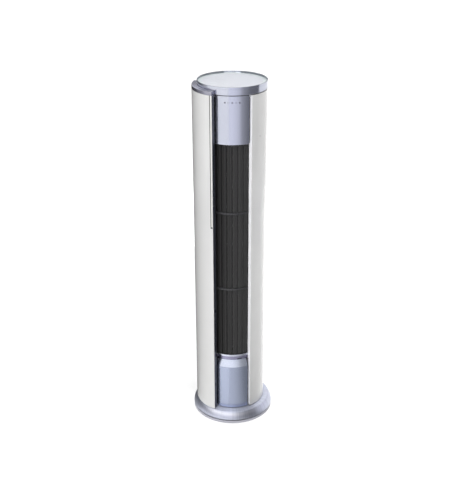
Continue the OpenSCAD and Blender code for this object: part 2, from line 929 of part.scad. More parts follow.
module vane_link() color(grey_plastic) {
    shift = crank_r * [cos(crank_rest_a), sin(crank_rest_a), 0];
    translate(shift) difference() {
        union() {
            sector(vane_r - link_w / 2, vane_r + link_w / 2, link_z, link_z + link_t,
                vane_a(0), vane_a(vane_count - 1));
            for (i = [0 : vane_count - 1])
                at_vane(i) translate([0, 0, link_z])
                    cylinder(r = crank_pin_d / 2 + link_eye, h = link_t);
        }
        for (i = [0 : vane_count - 1])
            at_vane(i) translate([0, 0, link_z - over])
                cylinder(r = crank_pin_d / 2 + (i == 0 ? fit_gap : loose_gap), h = link_t + 2 * over);
    }
}

module vane_motor() color(grey_plastic) difference() {
    facing(vane_a(0)) {
        translate([0, vane_motor_in - vane_r, vane_motor_z]) cylinder(d = vane_motor_d, h = vane_motor_h);
        translate([-motor_arm_w / 2, vane_motor_in - vane_r, vane_motor_z])
            cube([motor_arm_w, vane_r - vane_motor_in - motor_leg_r, motor_arm_t]);
        translate([-motor_arm_w / 2, -motor_leg_r - motor_leg_l, motor_deck_z + deck_t])
            cube([motor_arm_w, motor_leg_l, vane_motor_z + motor_arm_t - motor_deck_z - deck_t]);
    }
    at_vane(0) translate([0, 0, vane_motor_z - over])
        cylinder(r = vane_motor_shaft_d / 2 + fit_gap, h = vane_motor_h);
}

// Fan and air path

module at_fan() translate([0, -fan_front, 0]) children();

// One rotor blade in plan: a bowed strip that leans forward
module rotor_blade_plan() {
    mid_r = fan_r - blade_w / 2;
    s = [for (j = [0 : blade_steps]) j / blade_steps];
    function bow(t, side) = [
        (t - half) * blade_w,
        4 * t * (1 - t) * fan_blade_bow + side * fan_blade_t / 2
    ];
    translate([mid_r, 0]) rotate([0, 0, fan_lean_a])
        polygon(concat([for (t = s) bow(t, 1)], [for (t = s) bow(1 - t, -1)]));
}

module fan_rotor() color(grey_plastic) at_fan() {
    disc_step = (fan_high_z - fan_low_z - disc_t) / (disc_count - 1);
    for (i = [0 : blade_count - 1])
        rotate([0, 0, i * full_turn / blade_count])
            translate([0, 0, fan_low_z + disc_t / 2])
                linear_extrude(fan_high_z - fan_low_z - disc_t) rotor_blade_plan();
    for (k = [1 : disc_count - 2])
        ring(fan_r - blade_w - disc_rim_w, fan_r, fan_low_z + k * disc_step,
            fan_low_z + k * disc_step + disc_t);
    for (z = [fan_low_z, fan_high_z - disc_t]) disc(fan_r, z, z + disc_t);
    disc(hub_d / 2, fan_high_z - disc_t, fan_high_z + hub_h - disc_t);
    disc(hub_d / 2, fan_low_z + disc_t - hub_h, fan_low_z + disc_t);
    disc(fan_shaft_r, fan_high_z, motor_deck_z + deck_t + fan_motor_bore - shaft_end);
    disc(fan_shaft_r, mid_deck_top + shaft_end, fan_low_z);
}

module fan_bearing() color(dark_plastic) at_fan() difference() {
    union() {
        disc(bearing_d / 2, mid_deck_top, mid_deck_top + bearing_h - bearing_neck_h);
        disc(bearing_neck_d / 2, mid_deck_top, mid_deck_top + bearing_h);
    }
    disc(fan_shaft_r + fit_gap, mid_deck_top + shaft_end / 2, mid_deck_top + bearing_h + over);
}

module fan_motor() color(steel) at_fan() difference() {
    z0 = motor_deck_z + deck_t;
    union() {
        disc(fan_motor_d / 2 - fan_motor_rib, z0, z0 + fan_motor_h);
        for (i = [0 : fan_motor_ribs - 1])
            facing(i * full_turn / fan_motor_ribs)
                translate([-fan_motor_rib / 2, -fan_motor_d / 2, z0 + motor_ear_t])
                    cube([fan_motor_rib, 2 * fan_motor_rib, fan_motor_h - 2 * motor_ear_t]);
        for (i = [0 : motor_ears - 1])
            facing((i + half) * full_turn / motor_ears)
                translate([-motor_ear_w / 2, -fan_motor_d / 2 - motor_ear_l, z0])
                    cube([motor_ear_w, motor_ear_l + 2 * fan_motor_rib, motor_ear_t]);
    }
    disc(fan_shaft_r + fit_gap, z0 - over, z0 + fan_motor_bore);
    for (i = [0 : motor_ears - 1])
        facing((i + half) * full_turn / motor_ears)
            translate([0, -fan_motor_d / 2 - motor_ear_l / 2, z0 - over])
                cylinder(d = screw_d, h = motor_ear_t + 2 * over);
}

// The curved rear guide on the left of the rotor, run on straight from its bead to the left jamb
module rear_guide() color(dark_plastic) {
    mid_r = volute_r + volute_t / 2;
    bend = polar(mid_r, volute_a1) + [0, -fan_front];
    z0 = mid_deck_top + seat_gap;
    z1 = motor_deck_z - seat_gap;
    at_fan() sector(volute_r, volute_r + volute_t, z0, z1, volute_a0, volute_a1);
    plan_wall(bend, polar(frame_in_r - volute_t, -jamb_a0), volute_t, z0, z1);
    translate([bend[0], bend[1], mid_deck_top])
        cylinder(d = volute_bead_d, h = motor_deck_z - mid_deck_top);
}

// The tongue on the right, with a round nose near the rotor
module air_tongue() color(dark_plastic) {
    nose = polar(tongue_r + tongue_nose_d / 2, tongue_a) + [0, -fan_front];
    translate([nose[0], nose[1], mid_deck_top])
        cylinder(d = tongue_nose_d, h = motor_deck_z - mid_deck_top);
    plan_wall(nose, polar(frame_in_r - tongue_t, jamb_a0), tongue_t, mid_deck_top, motor_deck_z);
}

// Heat exchanger

coil_plate_z = motor_deck_z - coil_top_drop;

// Places a slab's children with -Y towards its outer face
module at_slabs() for (i = [0 : coil_count - 1])
    facing(half_turn + (i - (coil_count - 1) / 2) * coil_pitch_a) children();

module coil_fins() color(aluminium) at_slabs() {
    z0 = coil_low_z + coil_plate_t;
    tall = coil_plate_z - z0;
    count = floor(tall / fin_pitch);
    pitch = tall / count;
    fin_h = pitch * (1 - fin_gap_share);
    outline = concat(
        [[coil_in_r, z0], [coil_in_r + coil_t, z0]],
        [for (k = [0 : count - 2], c = [0 : 3])
            [coil_in_r + (c == 0 || c == 3 ? coil_t : fin_spine),
             z0 + k * pitch + (c < 2 ? fin_h : pitch)]],
        [[coil_in_r + coil_t, z0 + tall], [coil_in_r, z0 + tall]]
    );
    translate([coil_w / 2, 0, 0]) rotate([quarter_turn, 0, -quarter_turn])
        linear_extrude(coil_w) polygon(outline);
}

module coil_plates() color(steel) at_slabs()
    for (z = [coil_low_z, coil_plate_z])
        translate([-coil_w / 2, -coil_in_r - coil_t - coil_plate_over, z])
            cube([coil_w, coil_t + 2 * coil_plate_over, coil_plate_t]);

module return_bends() color(copper) at_slabs()
    for (k = [0 : bends_per_slab - 1])
        translate([(k - (bends_per_slab - 1) / 2) * coil_w / bends_per_slab,
            -coil_in_r - coil_t / 2, coil_plate_z + coil_plate_t])
            rotate([quarter_turn, 0, 0])
                rotate_extrude(angle = half_turn)
                    translate([bend_r, 0]) circle(d = bend_d);

// The place of a pipe beside the right-hand slab
module at_pipe(off)
    facing(half_turn - coil_pitch_a) translate([-off, -coil_in_r - pipe_in, 0]) children();

module refrigerant_pipes() color(copper) {
    at_pipe(gas_off) {
        translate([0, 0, gas_low_z]) cylinder(d = gas_d, h = gas_top_z - gas_low_z);
        for (z = [stub_low_z, gas_top_z - gas_d])
            translate([0, 0, z]) rotate([0, quarter_turn, 0])
                cylinder(d = gas_d / 2, h = gas_off - coil_w / 2 - seat_gap);
    }
    at_pipe(liquid_off) {
        translate([0, 0, liquid_low_z]) cylinder(d = liquid_d, h = liquid_top_z - liquid_low_z);
        translate([0, 0, liquid_top_z - liquid_d]) rotate([0, quarter_turn, 0])
            cylinder(d = liquid_d / 2, h = liquid_off - coil_w / 2 - seat_gap);
    }
}

module flare_nut(pipe_d, flats, z) translate([0, 0, z - shaft_end]) difference() {
    union() {
        cylinder(d = flats * nut_corner_share, h = flare_h / 2, $fn = 6);
        cylinder(d = flats * nut_neck_share, h = flare_h);
    }
    translate([0, 0, -over]) cylinder(d = pipe_d + 2 * fit_gap, h = flare_h + 2 * over);
}

module flare_nuts() color(brass) {
    at_pipe(gas_off) flare_nut(gas_d, gas_flats, gas_low_z);
    at_pipe(liquid_off) flare_nut(liquid_d, liquid_flats, liquid_low_z);
}

module at_spigot() facing(spigot_a) translate([0, -(pan_in_r + pan_out_r) / 2, 0]) children();

module drip_pan() color(dark_plastic) {
    end_a = pan_wall / pan_in_r * full_turn / (2 * PI);
    pan_a1 = full_turn - pan_a0;
    top_z = mid_deck_top + pan_h;
    difference() {
        union() {
            difference() {
                sector(pan_in_r, pan_out_r, mid_deck_top, top_z, pan_a0, pan_a1);
                sector(pan_in_r + pan_wall, pan_out_r - pan_wall, mid_deck_top + pan_wall, top_z + over,
                    pan_a0 + end_a, pan_a1 - end_a);
            }
            at_spigot() translate([0, 0, mid_deck_top - spigot_l])
                cylinder(d = spigot_d, h = spigot_l + pan_wall / 2);
        }
        at_spigot() translate([0, 0, mid_deck_top - spigot_l - over])
            cylinder(d = spigot_bore_d, h = spigot_l + pan_wall + 2 * over);
    }
}

// Rear skin

function screw_heights() = [
    low_z + screw_edge, mid_deck_z - screw_edge, motor_deck_z + screw_edge, high_z - screw_edge
];

module rear_panel(z0, z1) difference() {
    sector(panel_in_r, body_r, z0, z1, skin_a0, skin_a1);
    for (a = [-screw_a, screw_a], z = screw_heights())
        radial_bar(screw_d + 2 * seat_gap, panel_in_r - over, body_r + over, a, z);
}

module rear_lower_panel() color(white_gloss) difference() {
    rear_panel(low_z, mid_deck_z);
    radial_bar(pipe_bore_d + 2 * grommet_wall + 2 * seat_gap, panel_in_r / 2, body_r + over,
        half_turn, pipe_z);
    radial_bar(cable_bore_d + 2 * gland_wall + 2 * seat_gap, panel_in_r - 2 * over, body_r + over,
        cable_a, cable_z);
}

module rear_upper_panel() color(white_gloss)
    rear_panel(motor_deck_z + seam_h, high_z);

module pipe_grommet() color(dark_plastic) difference() {
    union() {
        radial_bar(pipe_bore_d + 2 * grommet_wall, body_r - grommet_deep, body_r + seat_gap,
            half_turn, pipe_z);
        radial_bar(pipe_bore_d + 2 * grommet_wall + 2 * grommet_flange,
            body_r + seat_gap, body_r + seat_gap + grommet_flange_t, half_turn, pipe_z);
    }
    radial_bar(pipe_bore_d, body_r - grommet_deep - over,
        body_r + seat_gap + grommet_flange_t + over, half_turn, pipe_z);
}

module cable_gland() color(dark_plastic) difference() {
    union() {
        radial_bar(cable_bore_d + 2 * gland_wall, body_r - gland_deep, body_r + seat_gap, cable_a, cable_z);
        radial_bar(cable_bore_d + 4 * gland_wall, body_r + seat_gap, body_r + gland_nut_h, cable_a, cable_z);
    }
    radial_bar(cable_bore_d, body_r - gland_deep - over, body_r + gland_nut_h + over, cable_a, cable_z);
}

module panel_screws() color(steel)
    for (a = [-screw_a, screw_a], z = screw_heights()) {
        radial_bar(screw_d, body_r - screw_l, body_r + screw_head_h, a, z);
        radial_bar(screw_head_d, body_r, body_r + screw_head_h, a, z);
    }

module intake_grille() color(white_gloss) {
    open_a = (skin_a1 - skin_a0 - 2 * grille_edge_a) / slot_columns;
    open_h = (grille_z1 - grille_z0 - 2 * grille_edge_h + bridge_h) / slot_rows;
    difference() {
        sector(panel_in_r, body_r, grille_z0, grille_z1, skin_a0, skin_a1);
        for (c = [0 : slot_columns - 1], r = [0 : slot_rows - 1])
            sector(panel_in_r - over, body_r + over,
                grille_z0 + grille_edge_h + r * open_h,
                grille_z0 + grille_edge_h + (r + 1) * open_h - bridge_h,
                skin_a0 + grille_edge_a + (c + half - slot_share / 2) * open_a,
                skin_a0 + grille_edge_a + (c + half + slot_share / 2) * open_a);
    }
}

module filter_frame() color(dark_plastic) {
    span = full_turn - 2 * filter_a0;
    cell_a = (span - filter_bar_a) / filter_columns;
    z0 = grille_z0 + filter_edge;
    z1 = grille_z1 - filter_edge;
    cell_h = (z1 - z0 - filter_bar_h) / filter_rows;
    difference() {
        sector(filter_out_r - filter_t, filter_out_r, z0, z1, filter_a0, filter_a0 + span);
        for (c = [0 : filter_columns - 1], r = [0 : filter_rows - 1])
            sector(filter_out_r - filter_t - over, filter_out_r + over,
                z0 + filter_bar_h + r * cell_h, z0 + (r + 1) * cell_h,
                filter_a0 + filter_bar_a + c * cell_a, filter_a0 + (c + 1) * cell_a);
    }
    for (a = [filter_a0 + filter_bar_a, full_turn - filter_a0 - 2 * filter_bar_a], k = [0, 1])
        sector(filter_out_r - filter_t / 2, panel_in_r - seat_gap, z0 + k * (z1 - z0 - filter_bar_h),
            z0 + filter_bar_h + k * (z1 - z0 - filter_bar_h), a, a + filter_bar_a);
}

module filter_mesh() color(vane_black) {
    span = full_turn - 2 * filter_a0;
    cell_a = (span - filter_bar_a) / filter_columns;
    z0 = grille_z0 + filter_edge;
    z1 = grille_z1 - filter_edge;
    cell_h = (z1 - z0 - filter_bar_h) / filter_rows;
    mid_r = filter_out_r - filter_t / 2;
    for (c = [0 : filter_columns - 1], r = [0 : filter_rows - 1])
        sector(mid_r - filter_mesh_t / 2, mid_r + filter_mesh_t / 2,
            z0 + filter_bar_h + r * cell_h, z0 + (r + 1) * cell_h,
            filter_a0 + filter_bar_a + c * cell_a, filter_a0 + (c + 1) * cell_a);
}

// Electrical parts

box_top_z = high_z - deck_t;

module control_box() color(steel) difference() {
    translate([-box_w / 2, box_back, box_top_z - box_h]) cube([box_w, box_d, box_h]);
    translate([-box_w / 2 + box_wall, box_back + box_wall, box_top_z - box_h + box_wall])
        cube([box_w - 2 * box_wall, box_d - 2 * box_wall, box_h - 2 * box_wall]);
    for (k = [0 : box_vents - 1])
        translate([(k - (box_vents - 1) / 2) * box_w / (box_vents + 1) - box_vent_w / 2,
            box_back + box_d - box_wall - over, box_top_z - box_h / 2 - box_vent_h / 2])
            cube([box_vent_w, box_wall + 2 * over, box_vent_h]);
}

module terminal_block() color(dark_plastic) {
    z1 = box_top_z - box_h;
    translate([-terminal_w / 2, box_back + box_d / 2 - terminal_d / 2, z1 - terminal_h])
        cube([terminal_w, terminal_d, terminal_h]);
    for (k = [0 : terminal_posts - 1])
        translate([(k - (terminal_posts - 1) / 2) * terminal_w / terminal_posts,
            box_back + box_d / 2, z1 - terminal_h - terminal_post_h])
            cylinder(d = terminal_post_d, h = terminal_post_h + over);
}

// Door drive

module at_pinion() facing(pinion_a) translate([0, -pinion_at_r, 0]) children();

module door_motor() color(steel) at_pinion() difference() {
    z1 = high_z - deck_t;
    union() {
        disc(door_motor_d / 2, z1 - door_motor_h, z1);
        translate([-door_motor_d / 2 - door_motor_ear, -door_motor_ear / 2, z1 - deck_t])
            cube([door_motor_d + 2 * door_motor_ear, door_motor_ear, deck_t]);
    }
    disc(pinion_shaft_d / 2 + fit_gap, z1 - door_motor_h + shaft_end / 2, z1 + over);
}

// One tooth in plan on a pitch circle of radius r, pointing outwards (1) or inwards (-1)
module tooth_plan(r, way, pitch_a) {
    tip = r + way * tooth_tip_share * rack_module;
    root = r - way * tooth_root_share * rack_module;
    polygon([
        polar(root, -tooth_foot_share * pitch_a),
        polar(r, -tooth_pitch_share * pitch_a),
        polar(tip, -tooth_top_share * pitch_a),
        polar(tip, tooth_top_share * pitch_a),
        polar(r, tooth_pitch_share * pitch_a),
        polar(root, tooth_foot_share * pitch_a)
    ]);
}

module door_pinion() color(grey_plastic) at_pinion() {
    pitch_a = full_turn / pinion_teeth;
    z0 = high_z + pinion_lift;
    root_r = pinion_pitch_r - tooth_root_share * rack_module;
    disc(root_r + seat_gap, z0, door_top_z + pinion_lift);
    for (i = [0 : pinion_teeth - 1])
        rotate([0, 0, (i + half) * pitch_a])
            translate([0, 0, z0]) linear_extrude(door_top_z + pinion_lift - z0)
                tooth_plan(pinion_pitch_r, 1, pitch_a);
    disc(pinion_shaft_d / 2, high_z - deck_t - door_motor_h + shaft_end, z0 + over);
}

// Door

module glide(z0, z1) {
    span = carrier_a1 - carrier_a0 - glide_a - 2 * rack_spare_a;
    for (k = [0 : glide_count - 1])
        sector(track_in_r + seat_gap, track_out_r - seat_gap, z0, z1,
            carrier_a0 + rack_spare_a + k * span / (glide_count - 1),
            carrier_a0 + rack_spare_a + k * span / (glide_count - 1) + glide_a);
}

module top_carrier() color(aluminium) {
    first = ceil((carrier_a0 + rack_spare_a - pinion_a) / tooth_a);
    last = floor((carrier_a1 - rack_spare_a - pinion_a) / tooth_a);
    sector(rack_body_r - seat_gap, carrier_out_r, carrier_high_z, door_top_z, carrier_a0, carrier_a1);
    for (i = [first : last])
        rotate([0, 0, pinion_a + i * tooth_a])
            translate([0, 0, carrier_high_z]) linear_extrude(carrier_t)
                tooth_plan(rack_pitch_r, -1, tooth_a);
    glide(high_z - track_deep + seat_gap, carrier_high_z + over);
}

module bottom_carrier() color(aluminium) {
    sector(track_in_r - track_wall, door_r - slide_gap, door_low_z, carrier_low_top,
        carrier_a0, carrier_a1);
    glide(base_top_h - track_deep + seat_gap, door_low_z + over);
}

trim_a = trim_w / door_r * full_turn / (2 * PI);
trim_z0 = door_top_z - trim_l;

module door_shell() color(white_gloss) difference() {
    sector(door_in_r, door_r, carrier_low_top, door_top_z, door_a0, door_a1);
    sector(door_in_r - over, door_wall_r, carrier_low_top - over, door_top_z + over,
        door_a0 + fold_a, door_a1 - fold_a);
    sector(door_in_r - over, door_wall_r + door_rebate, carrier_high_z - seat_gap, door_top_z + over,
        door_a0 - fold_a, door_a1 + fold_a);
    sector(door_r - trim_t, door_r + over, trim_z0, door_top_z + over,
        door_a1 - trim_edge_a - trim_a, door_a1 - trim_edge_a);
}

module door_edge_trim() color(cream)
    sector(door_r - trim_t + seat_gap / 2, door_r + trim_proud, trim_z0 + seat_gap, door_top_z,
        door_a1 - trim_edge_a - trim_a + seat_gap / 2, door_a1 - trim_edge_a - seat_gap / 2);

module door_top_cap() color(lavender_dark) {
    in_r = glass_r + cap_lip_gap;
    swept([
        [in_r, door_top_z],
        [door_r, door_top_z],
        [door_r, door_top_z + door_cap_h - cap_edge_drop],
        [door_r - cap_edge_drop, door_top_z + door_cap_h],
        [in_r, door_top_z + door_cap_h]
    ], door_a0, door_a1);
}

base_plate();
foot_pads();
base_plinth();
base_cover();
pedestal();
lower_deck();
rear_columns();
mid_deck();
motor_deck();
upper_deck();
cap_post();
cap_floor();
cap_cover();
glass_disc();
right_panel();
left_panel();
display_panel();
display_board();
side_trims();
lower_panel();
sill();
outlet_frame();
vane_ribs();
vane(0);  // vane_1
vane(1);  // vane_2
vane(2);  // vane_3
vane(3);  // vane_4
vane(4);  // vane_5
vane(5);  // vane_6
vane_link();
vane_motor();
fan_rotor();
fan_bearing();
fan_motor();
rear_guide();
air_tongue();
coil_fins();
coil_plates();
return_bends();
drip_pan();
refrigerant_pipes();
flare_nuts();
rear_lower_panel();
pipe_grommet();
cable_gland();
rear_upper_panel();
panel_screws();
intake_grille();
filter_frame();
filter_mesh();
control_box();
terminal_block();
door_motor();
door_pinion();
door_shell();
door_edge_trim();
door_top_cap();
top_carrier();
bottom_carrier();
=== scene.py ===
from math import atan2, ceil, cos, hypot, pi, radians as deg, sin
import bmesh
import bpy
from mathutils import Matrix, Vector


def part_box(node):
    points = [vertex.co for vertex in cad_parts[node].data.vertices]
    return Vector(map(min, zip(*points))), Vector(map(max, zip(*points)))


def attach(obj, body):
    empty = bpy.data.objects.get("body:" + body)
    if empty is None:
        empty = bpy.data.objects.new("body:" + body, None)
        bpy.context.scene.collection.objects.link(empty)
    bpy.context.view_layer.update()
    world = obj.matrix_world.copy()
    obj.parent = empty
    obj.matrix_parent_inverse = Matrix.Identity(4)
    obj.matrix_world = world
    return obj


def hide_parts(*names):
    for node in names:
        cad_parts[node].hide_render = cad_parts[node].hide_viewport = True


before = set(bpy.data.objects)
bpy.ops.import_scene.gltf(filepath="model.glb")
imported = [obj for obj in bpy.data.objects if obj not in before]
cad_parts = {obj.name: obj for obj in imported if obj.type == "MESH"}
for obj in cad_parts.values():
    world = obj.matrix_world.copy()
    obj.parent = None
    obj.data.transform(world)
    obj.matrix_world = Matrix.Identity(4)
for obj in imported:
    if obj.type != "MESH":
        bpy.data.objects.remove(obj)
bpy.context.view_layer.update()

scene = bpy.context.scene
print("frame loaded:", len(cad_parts), "nodes")

# Places are metres. Angles are measured at the column's axis, from the front (-Y) towards +X.
fullTurn = 2 * pi
curveStep = deg(1.5)     # how finely round pieces are divided
sharpAngle = deg(35)     # edges that turn more than this are sharp, and are the ones that get rounded
rodCore = 0.0001         # a solid rod starts this far from its own axis,
discCore = 0.0002        # and a solid disc this far from the column's
weldReach = 1e-6         # points that lie nearer together than this are one


def polar(r, a):
    return (r * sin(a), -r * cos(a))


def arc(r, turns):
    return [polar(r, a) for a in turns]


def pointsOf(node):
    return [v.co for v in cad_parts[node].data.vertices]


def reach(node, wanted):
    # how far a CAD node goes: radius, angle (through the front) and height, as in "r0 r1 z1"
    points = pointsOf(node)
    radii = [hypot(p.x, p.y) for p in points]
    turns = [atan2(p.x, -p.y) for p in points]
    low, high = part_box(node)
    found = {"r0": min(radii), "r1": max(radii), "a0": min(turns), "a1": max(turns),
             "z0": low.z, "z1": high.z}
    return [found[name] for name in wanted.split()]


def levels(node):
    # the heights of the flat faces of a CAD node
    return sorted({round(p.z, 4) for p in pointsOf(node)})


def fan(a0, a1, step=curveStep):
    # evenly spaced angles from a0 to a1
    count = max(2, ceil(abs(a1 - a0) / step))
    return [a0 + (a1 - a0) * k / count for k in range(count + 1)]


def roundCorner(cx, cy, r, start, end, steps=5):
    # points on a fillet in any plane
    return [(cx + r * cos(start + (end - start) * k / steps),
             cy + r * sin(start + (end - start) * k / steps)) for k in range(steps + 1)]


def skinCorner(r, a, corner, way, steps):
    # points on the rounded corner between a skin's edge at angle a and its outer face
    points = []
    for k in range(1, steps):
        t = deg(90) * k / steps
        points.append(polar(r - corner + corner * sin(t), a + way * corner / r * (1 - cos(t))))
    return points


def rectangle(u0, u1, v0, v1):
    return [(u0, v0), (u1, v0), (u1, v1), (u0, v1)]


# Building meshes: a shape is (points, faces)

def joined(rings, whole):
    # closed rings of points, each joined to the next; a whole turn has no ends, and else they are capped
    n, count = len(rings[0]), len(rings)
    faces = []
    for k in range(count if whole else count - 1):
        here, there = k * n, (k + 1) % count * n
        for i in range(n):
            j = (i + 1) % n
            faces.append((here + i, here + j, there + j, there + i))
    if not whole:
        faces += [tuple(reversed(range(n))), tuple(range((count - 1) * n, count * n))]
    return [point for ring in rings for point in ring], faces


def revolved(section, a0=0.0, a1=fullTurn, step=curveStep):
    # a closed outline of (radius, height) turned about the column's axis
    whole = a1 - a0 >= fullTurn
    turns = fan(a0, a1, step)[:-1] if whole else fan(a0, a1, step)
    return joined([[(*polar(r, a), z) for r, z in section] for a in turns], whole)


def raised(outline, z0, z1):
    # a closed outline in plan, standing from z0 to z1
    return joined([[(x, y, z) for x, y in outline] for z in (z0, z1)], False)


def lathe(profile, sides=48):
    # a closed outline of (radius, along) turned about its own axis, here +Z
    turns = [fullTurn * k / sides for k in range(sides)]
    return joined([[(r * cos(a), r * sin(a), z) for r, z in profile] for a in turns], True)


def rod(r, z0, z1, sides=32, core=rodCore):
    return lathe(rectangle(core, r, z0, z1), sides)


def drill(r, z0, z1, sides=32):
    # what a round hole is cut with
    return rod(r, z0, z1, sides, 0)


def ribbon(rows):
    # rows of (outer points, inner points, height): a folded sheet standing up, with flat ends
    n = len(rows[0][0])
    points, faces = [], []
    for outer, inner, z in rows:
        points += [(x, y, z) for x, y in outer] + [(x, y, z) for x, y in inner]
    for k in range(len(rows) - 1):
        low, high = 2 * n * k, 2 * n * (k + 1)
        for i in range(n - 1):
            faces.append((low + i, low + i + 1, high + i + 1, high + i))
            faces.append((high + n + i, high + n + i + 1, low + n + i + 1, low + n + i))
        faces.append((low, high, high + n, low + n))
        faces.append((low + 2 * n - 1, high + 2 * n - 1, high + n - 1, low + n - 1))
    last = 2 * n * (len(rows) - 1)
    for i in range(n - 1):
        faces.append((i + 1, i, n + i, n + i + 1))
        faces.append((last + i, last + i + 1, last + n + i + 1, last + n + i))
    return points, faces


def pierced(r0, r1, turns, heights, isOpen):
    # a curved sheet on a grid of angles and heights, with some of its cells open
    ni, nj = len(turns), len(heights)
    points = [(*polar(r, a), z) for r in (r1, r0) for z in heights for a in turns]
    solid = {(i, j) for i in range(ni - 1) for j in range(nj - 1) if not isOpen(i, j)}
    back = ni * nj
    faces = []
    for i, j in solid:
        a, b, c, d = j * ni + i, j * ni + i + 1, (j + 1) * ni + i + 1, (j + 1) * ni + i
        faces.append((a, b, c, d))
        faces.append((back + d, back + c, back + b, back + a))
        for beside, p, q in (((i, j - 1), a, b), ((i + 1, j), b, c), ((i, j + 1), c, d), ((i - 1, j), d, a)):
            if beside not in solid:
                faces.append((q, p, back + p, back + q))
    return points, faces


def placed(shape, matrix):
    return [tuple(matrix @ Vector(p)) for p in shape[0]], shape[1]


def upright(r, a, z=0.0):
    # takes a shape made at the axis to radius r and angle a
    return Matrix.Translation((*polar(r, a), z))


def outwards(a, r, z):
    # turns a shape made along +Z so that it points out of the column at angle a
    return upright(r, a, z) @ Matrix.Rotation(a, 4, "Z") @ Matrix.Rotation(deg(90), 4, "X")


def together(*shapes):
    points, faces = [], []
    for shape in shapes:
        start = len(points)
        points += shape[0]
        faces += [tuple(start + i for i in face) for face in shape[1]]
    return points, faces


def inScene(name, data, place=(0, 0, 0), turn=(0, 0, 0)):
    made = bpy.data.objects.new(name, data)
    made.location = place
    made.rotation_euler = turn
    scene.collection.objects.link(made)
    return made


def smoothFaces(mesh, sharpFrom=sharpAngle):
    mesh.polygons.foreach_set("use_smooth", [True] * len(mesh.polygons))
    mesh.set_sharp_from_angle(angle=sharpFrom)


def objectOf(name, shape):
    mesh = bpy.data.meshes.new(name)
    mesh.from_pydata(shape[0], [], shape[1])
    clean = bmesh.new()
    clean.from_mesh(mesh)
    bmesh.ops.remove_doubles(clean, verts=clean.verts, dist=weldReach)
    bmesh.ops.dissolve_degenerate(clean, edges=clean.edges, dist=weldReach)
    bmesh.ops.recalc_face_normals(clean, faces=clean.faces)
    clean.to_mesh(mesh)
    clean.free()
    smoothFaces(mesh)
    return inScene(name, mesh)


def piece(name, shape, finish, replaces=(), edge=(), body="chassis", cuts=()):
    # one piece of the machine: its mesh, finish, rounded edges (width, steps) and the body it rides on
    made = objectOf(name, shape)
    made.data.materials.append(finishes[finish])
    for cut in cuts:
        carve(made, cut)
    if edge:
        roundEdges(made, *edge)
    weights = made.modifiers.new("face weights", "WEIGHTED_NORMAL")
    weights.keep_sharp = True
    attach(made, body)
    if replaces:
        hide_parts(*replaces)
    return made


def roundEdges(made, width, steps):
    bevel = made.modifiers.new("rounded edges", "BEVEL")
    bevel.width = width
    bevel.segments = steps
    bevel.limit_method = "ANGLE"
    bevel.angle_limit = sharpAngle
    bevel.harden_normals = True
    bevel.miter_outer = "MITER_ARC"


def carve(made, shape):
    # cuts a shape out of a piece for good
    tool = objectOf("cutter", shape)
    cut = made.modifiers.new("cut", "BOOLEAN")
    cut.operation = "DIFFERENCE"
    cut.solver = "EXACT"
    cut.object = tool
    bpy.context.view_layer.update()
    result = bpy.data.meshes.new_from_object(made.evaluated_get(bpy.context.evaluated_depsgraph_get()))
    made.modifiers.clear()
    old = made.data
    made.data = result
    bpy.data.meshes.remove(old)
    bpy.data.objects.remove(tool)
    smoothFaces(result)


# Finishes

def setSocket(material, socket, value):
    # a socket takes a fixed value, or what another node gives
    if isinstance(value, bpy.types.NodeSocket):
        material.node_tree.links.new(value, socket)
    else:
        socket.default_value = value


def addNode(material, kind, sockets, **settings):
    made = material.node_tree.nodes.new("ShaderNode" + kind)
    for name, value in settings.items():
        setattr(made, name, value)
    for name, value in sockets.items():
        setSocket(material, made.inputs[name], value)
    return made


def setShader(material, sockets):
    shader = material.node_tree.nodes["Principled BSDF"]
    for name, value in sockets.items():
        setSocket(material, shader.inputs[name], value)


def newFinish(colour, roughness, metallic=0.0):
    material = bpy.data.materials.new("finish")
    material.use_nodes = True
    material.diffuse_color = (*colour, 1)
    setShader(material, {"Base Color": (*colour, 1), "Roughness": roughness, "Metallic": metallic})
    return material


def objectPlace(material):
    return addNode(material, "TexCoord", {}).outputs["Object"]


def partsOf(material, vector):
    return addNode(material, "SeparateXYZ", {"Vector": vector}).outputs


def mathOf(material, operation, first, second):
    return addNode(material, "Math", {0: first, 1: second}, operation=operation).outputs["Value"]


def ranged(material, value, low, high, span=(0.3, 0.7), **settings):
    # gives low where the value starts its span, and high where it ends
    return addNode(material, "MapRange", {"Value": value, "From Min": span[0], "From Max": span[1],
                                          "To Min": low, "To Max": high}, **settings).outputs["Result"]


def mixed(material, factor, first, second, **settings):
    mix = addNode(material, "Mix", {}, data_type="RGBA", **settings)
    sides = [s for s in mix.inputs if s.type == "RGBA"]
    for socket, value in ((mix.inputs["Factor"], factor), (sides[0], first), (sides[1], second)):
        setSocket(material, socket, value)
    return [s for s in mix.outputs if s.type == "RGBA"][0]


def noise(material, vector, scale, detail):
    return addNode(material, "TexNoise", {"Vector": vector, "Scale": scale, "Detail": detail}).outputs["Fac"]


def speckle(material, scale, stretch=(1, 1, 1), detail=3):
    # noise through the solid, so that it needs no unwrapping
    mapping = addNode(material, "Mapping", {"Vector": objectPlace(material), "Scale": stretch})
    return noise(material, mapping.outputs["Vector"], scale, detail)


def strokes(material, lines, drift=1.5):
    # brush strokes that run up the column and straight out along its flat faces
    place = objectPlace(material)
    x, y, _ = partsOf(material, place)
    length = addNode(material, "VectorMath", {0: place}, operation="LENGTH").outputs["Value"]
    across = mathOf(material, "MULTIPLY", mathOf(material, "ARCTAN2", x, y), lines)
    along = mathOf(material, "MULTIPLY", length, drift)
    packed = addNode(material, "CombineXYZ", {"X": across, "Y": along})
    return noise(material, packed.outputs["Vector"], 1, 4)


def shade(colour, factor):
    return tuple(min(1.0, c * factor) for c in colour)


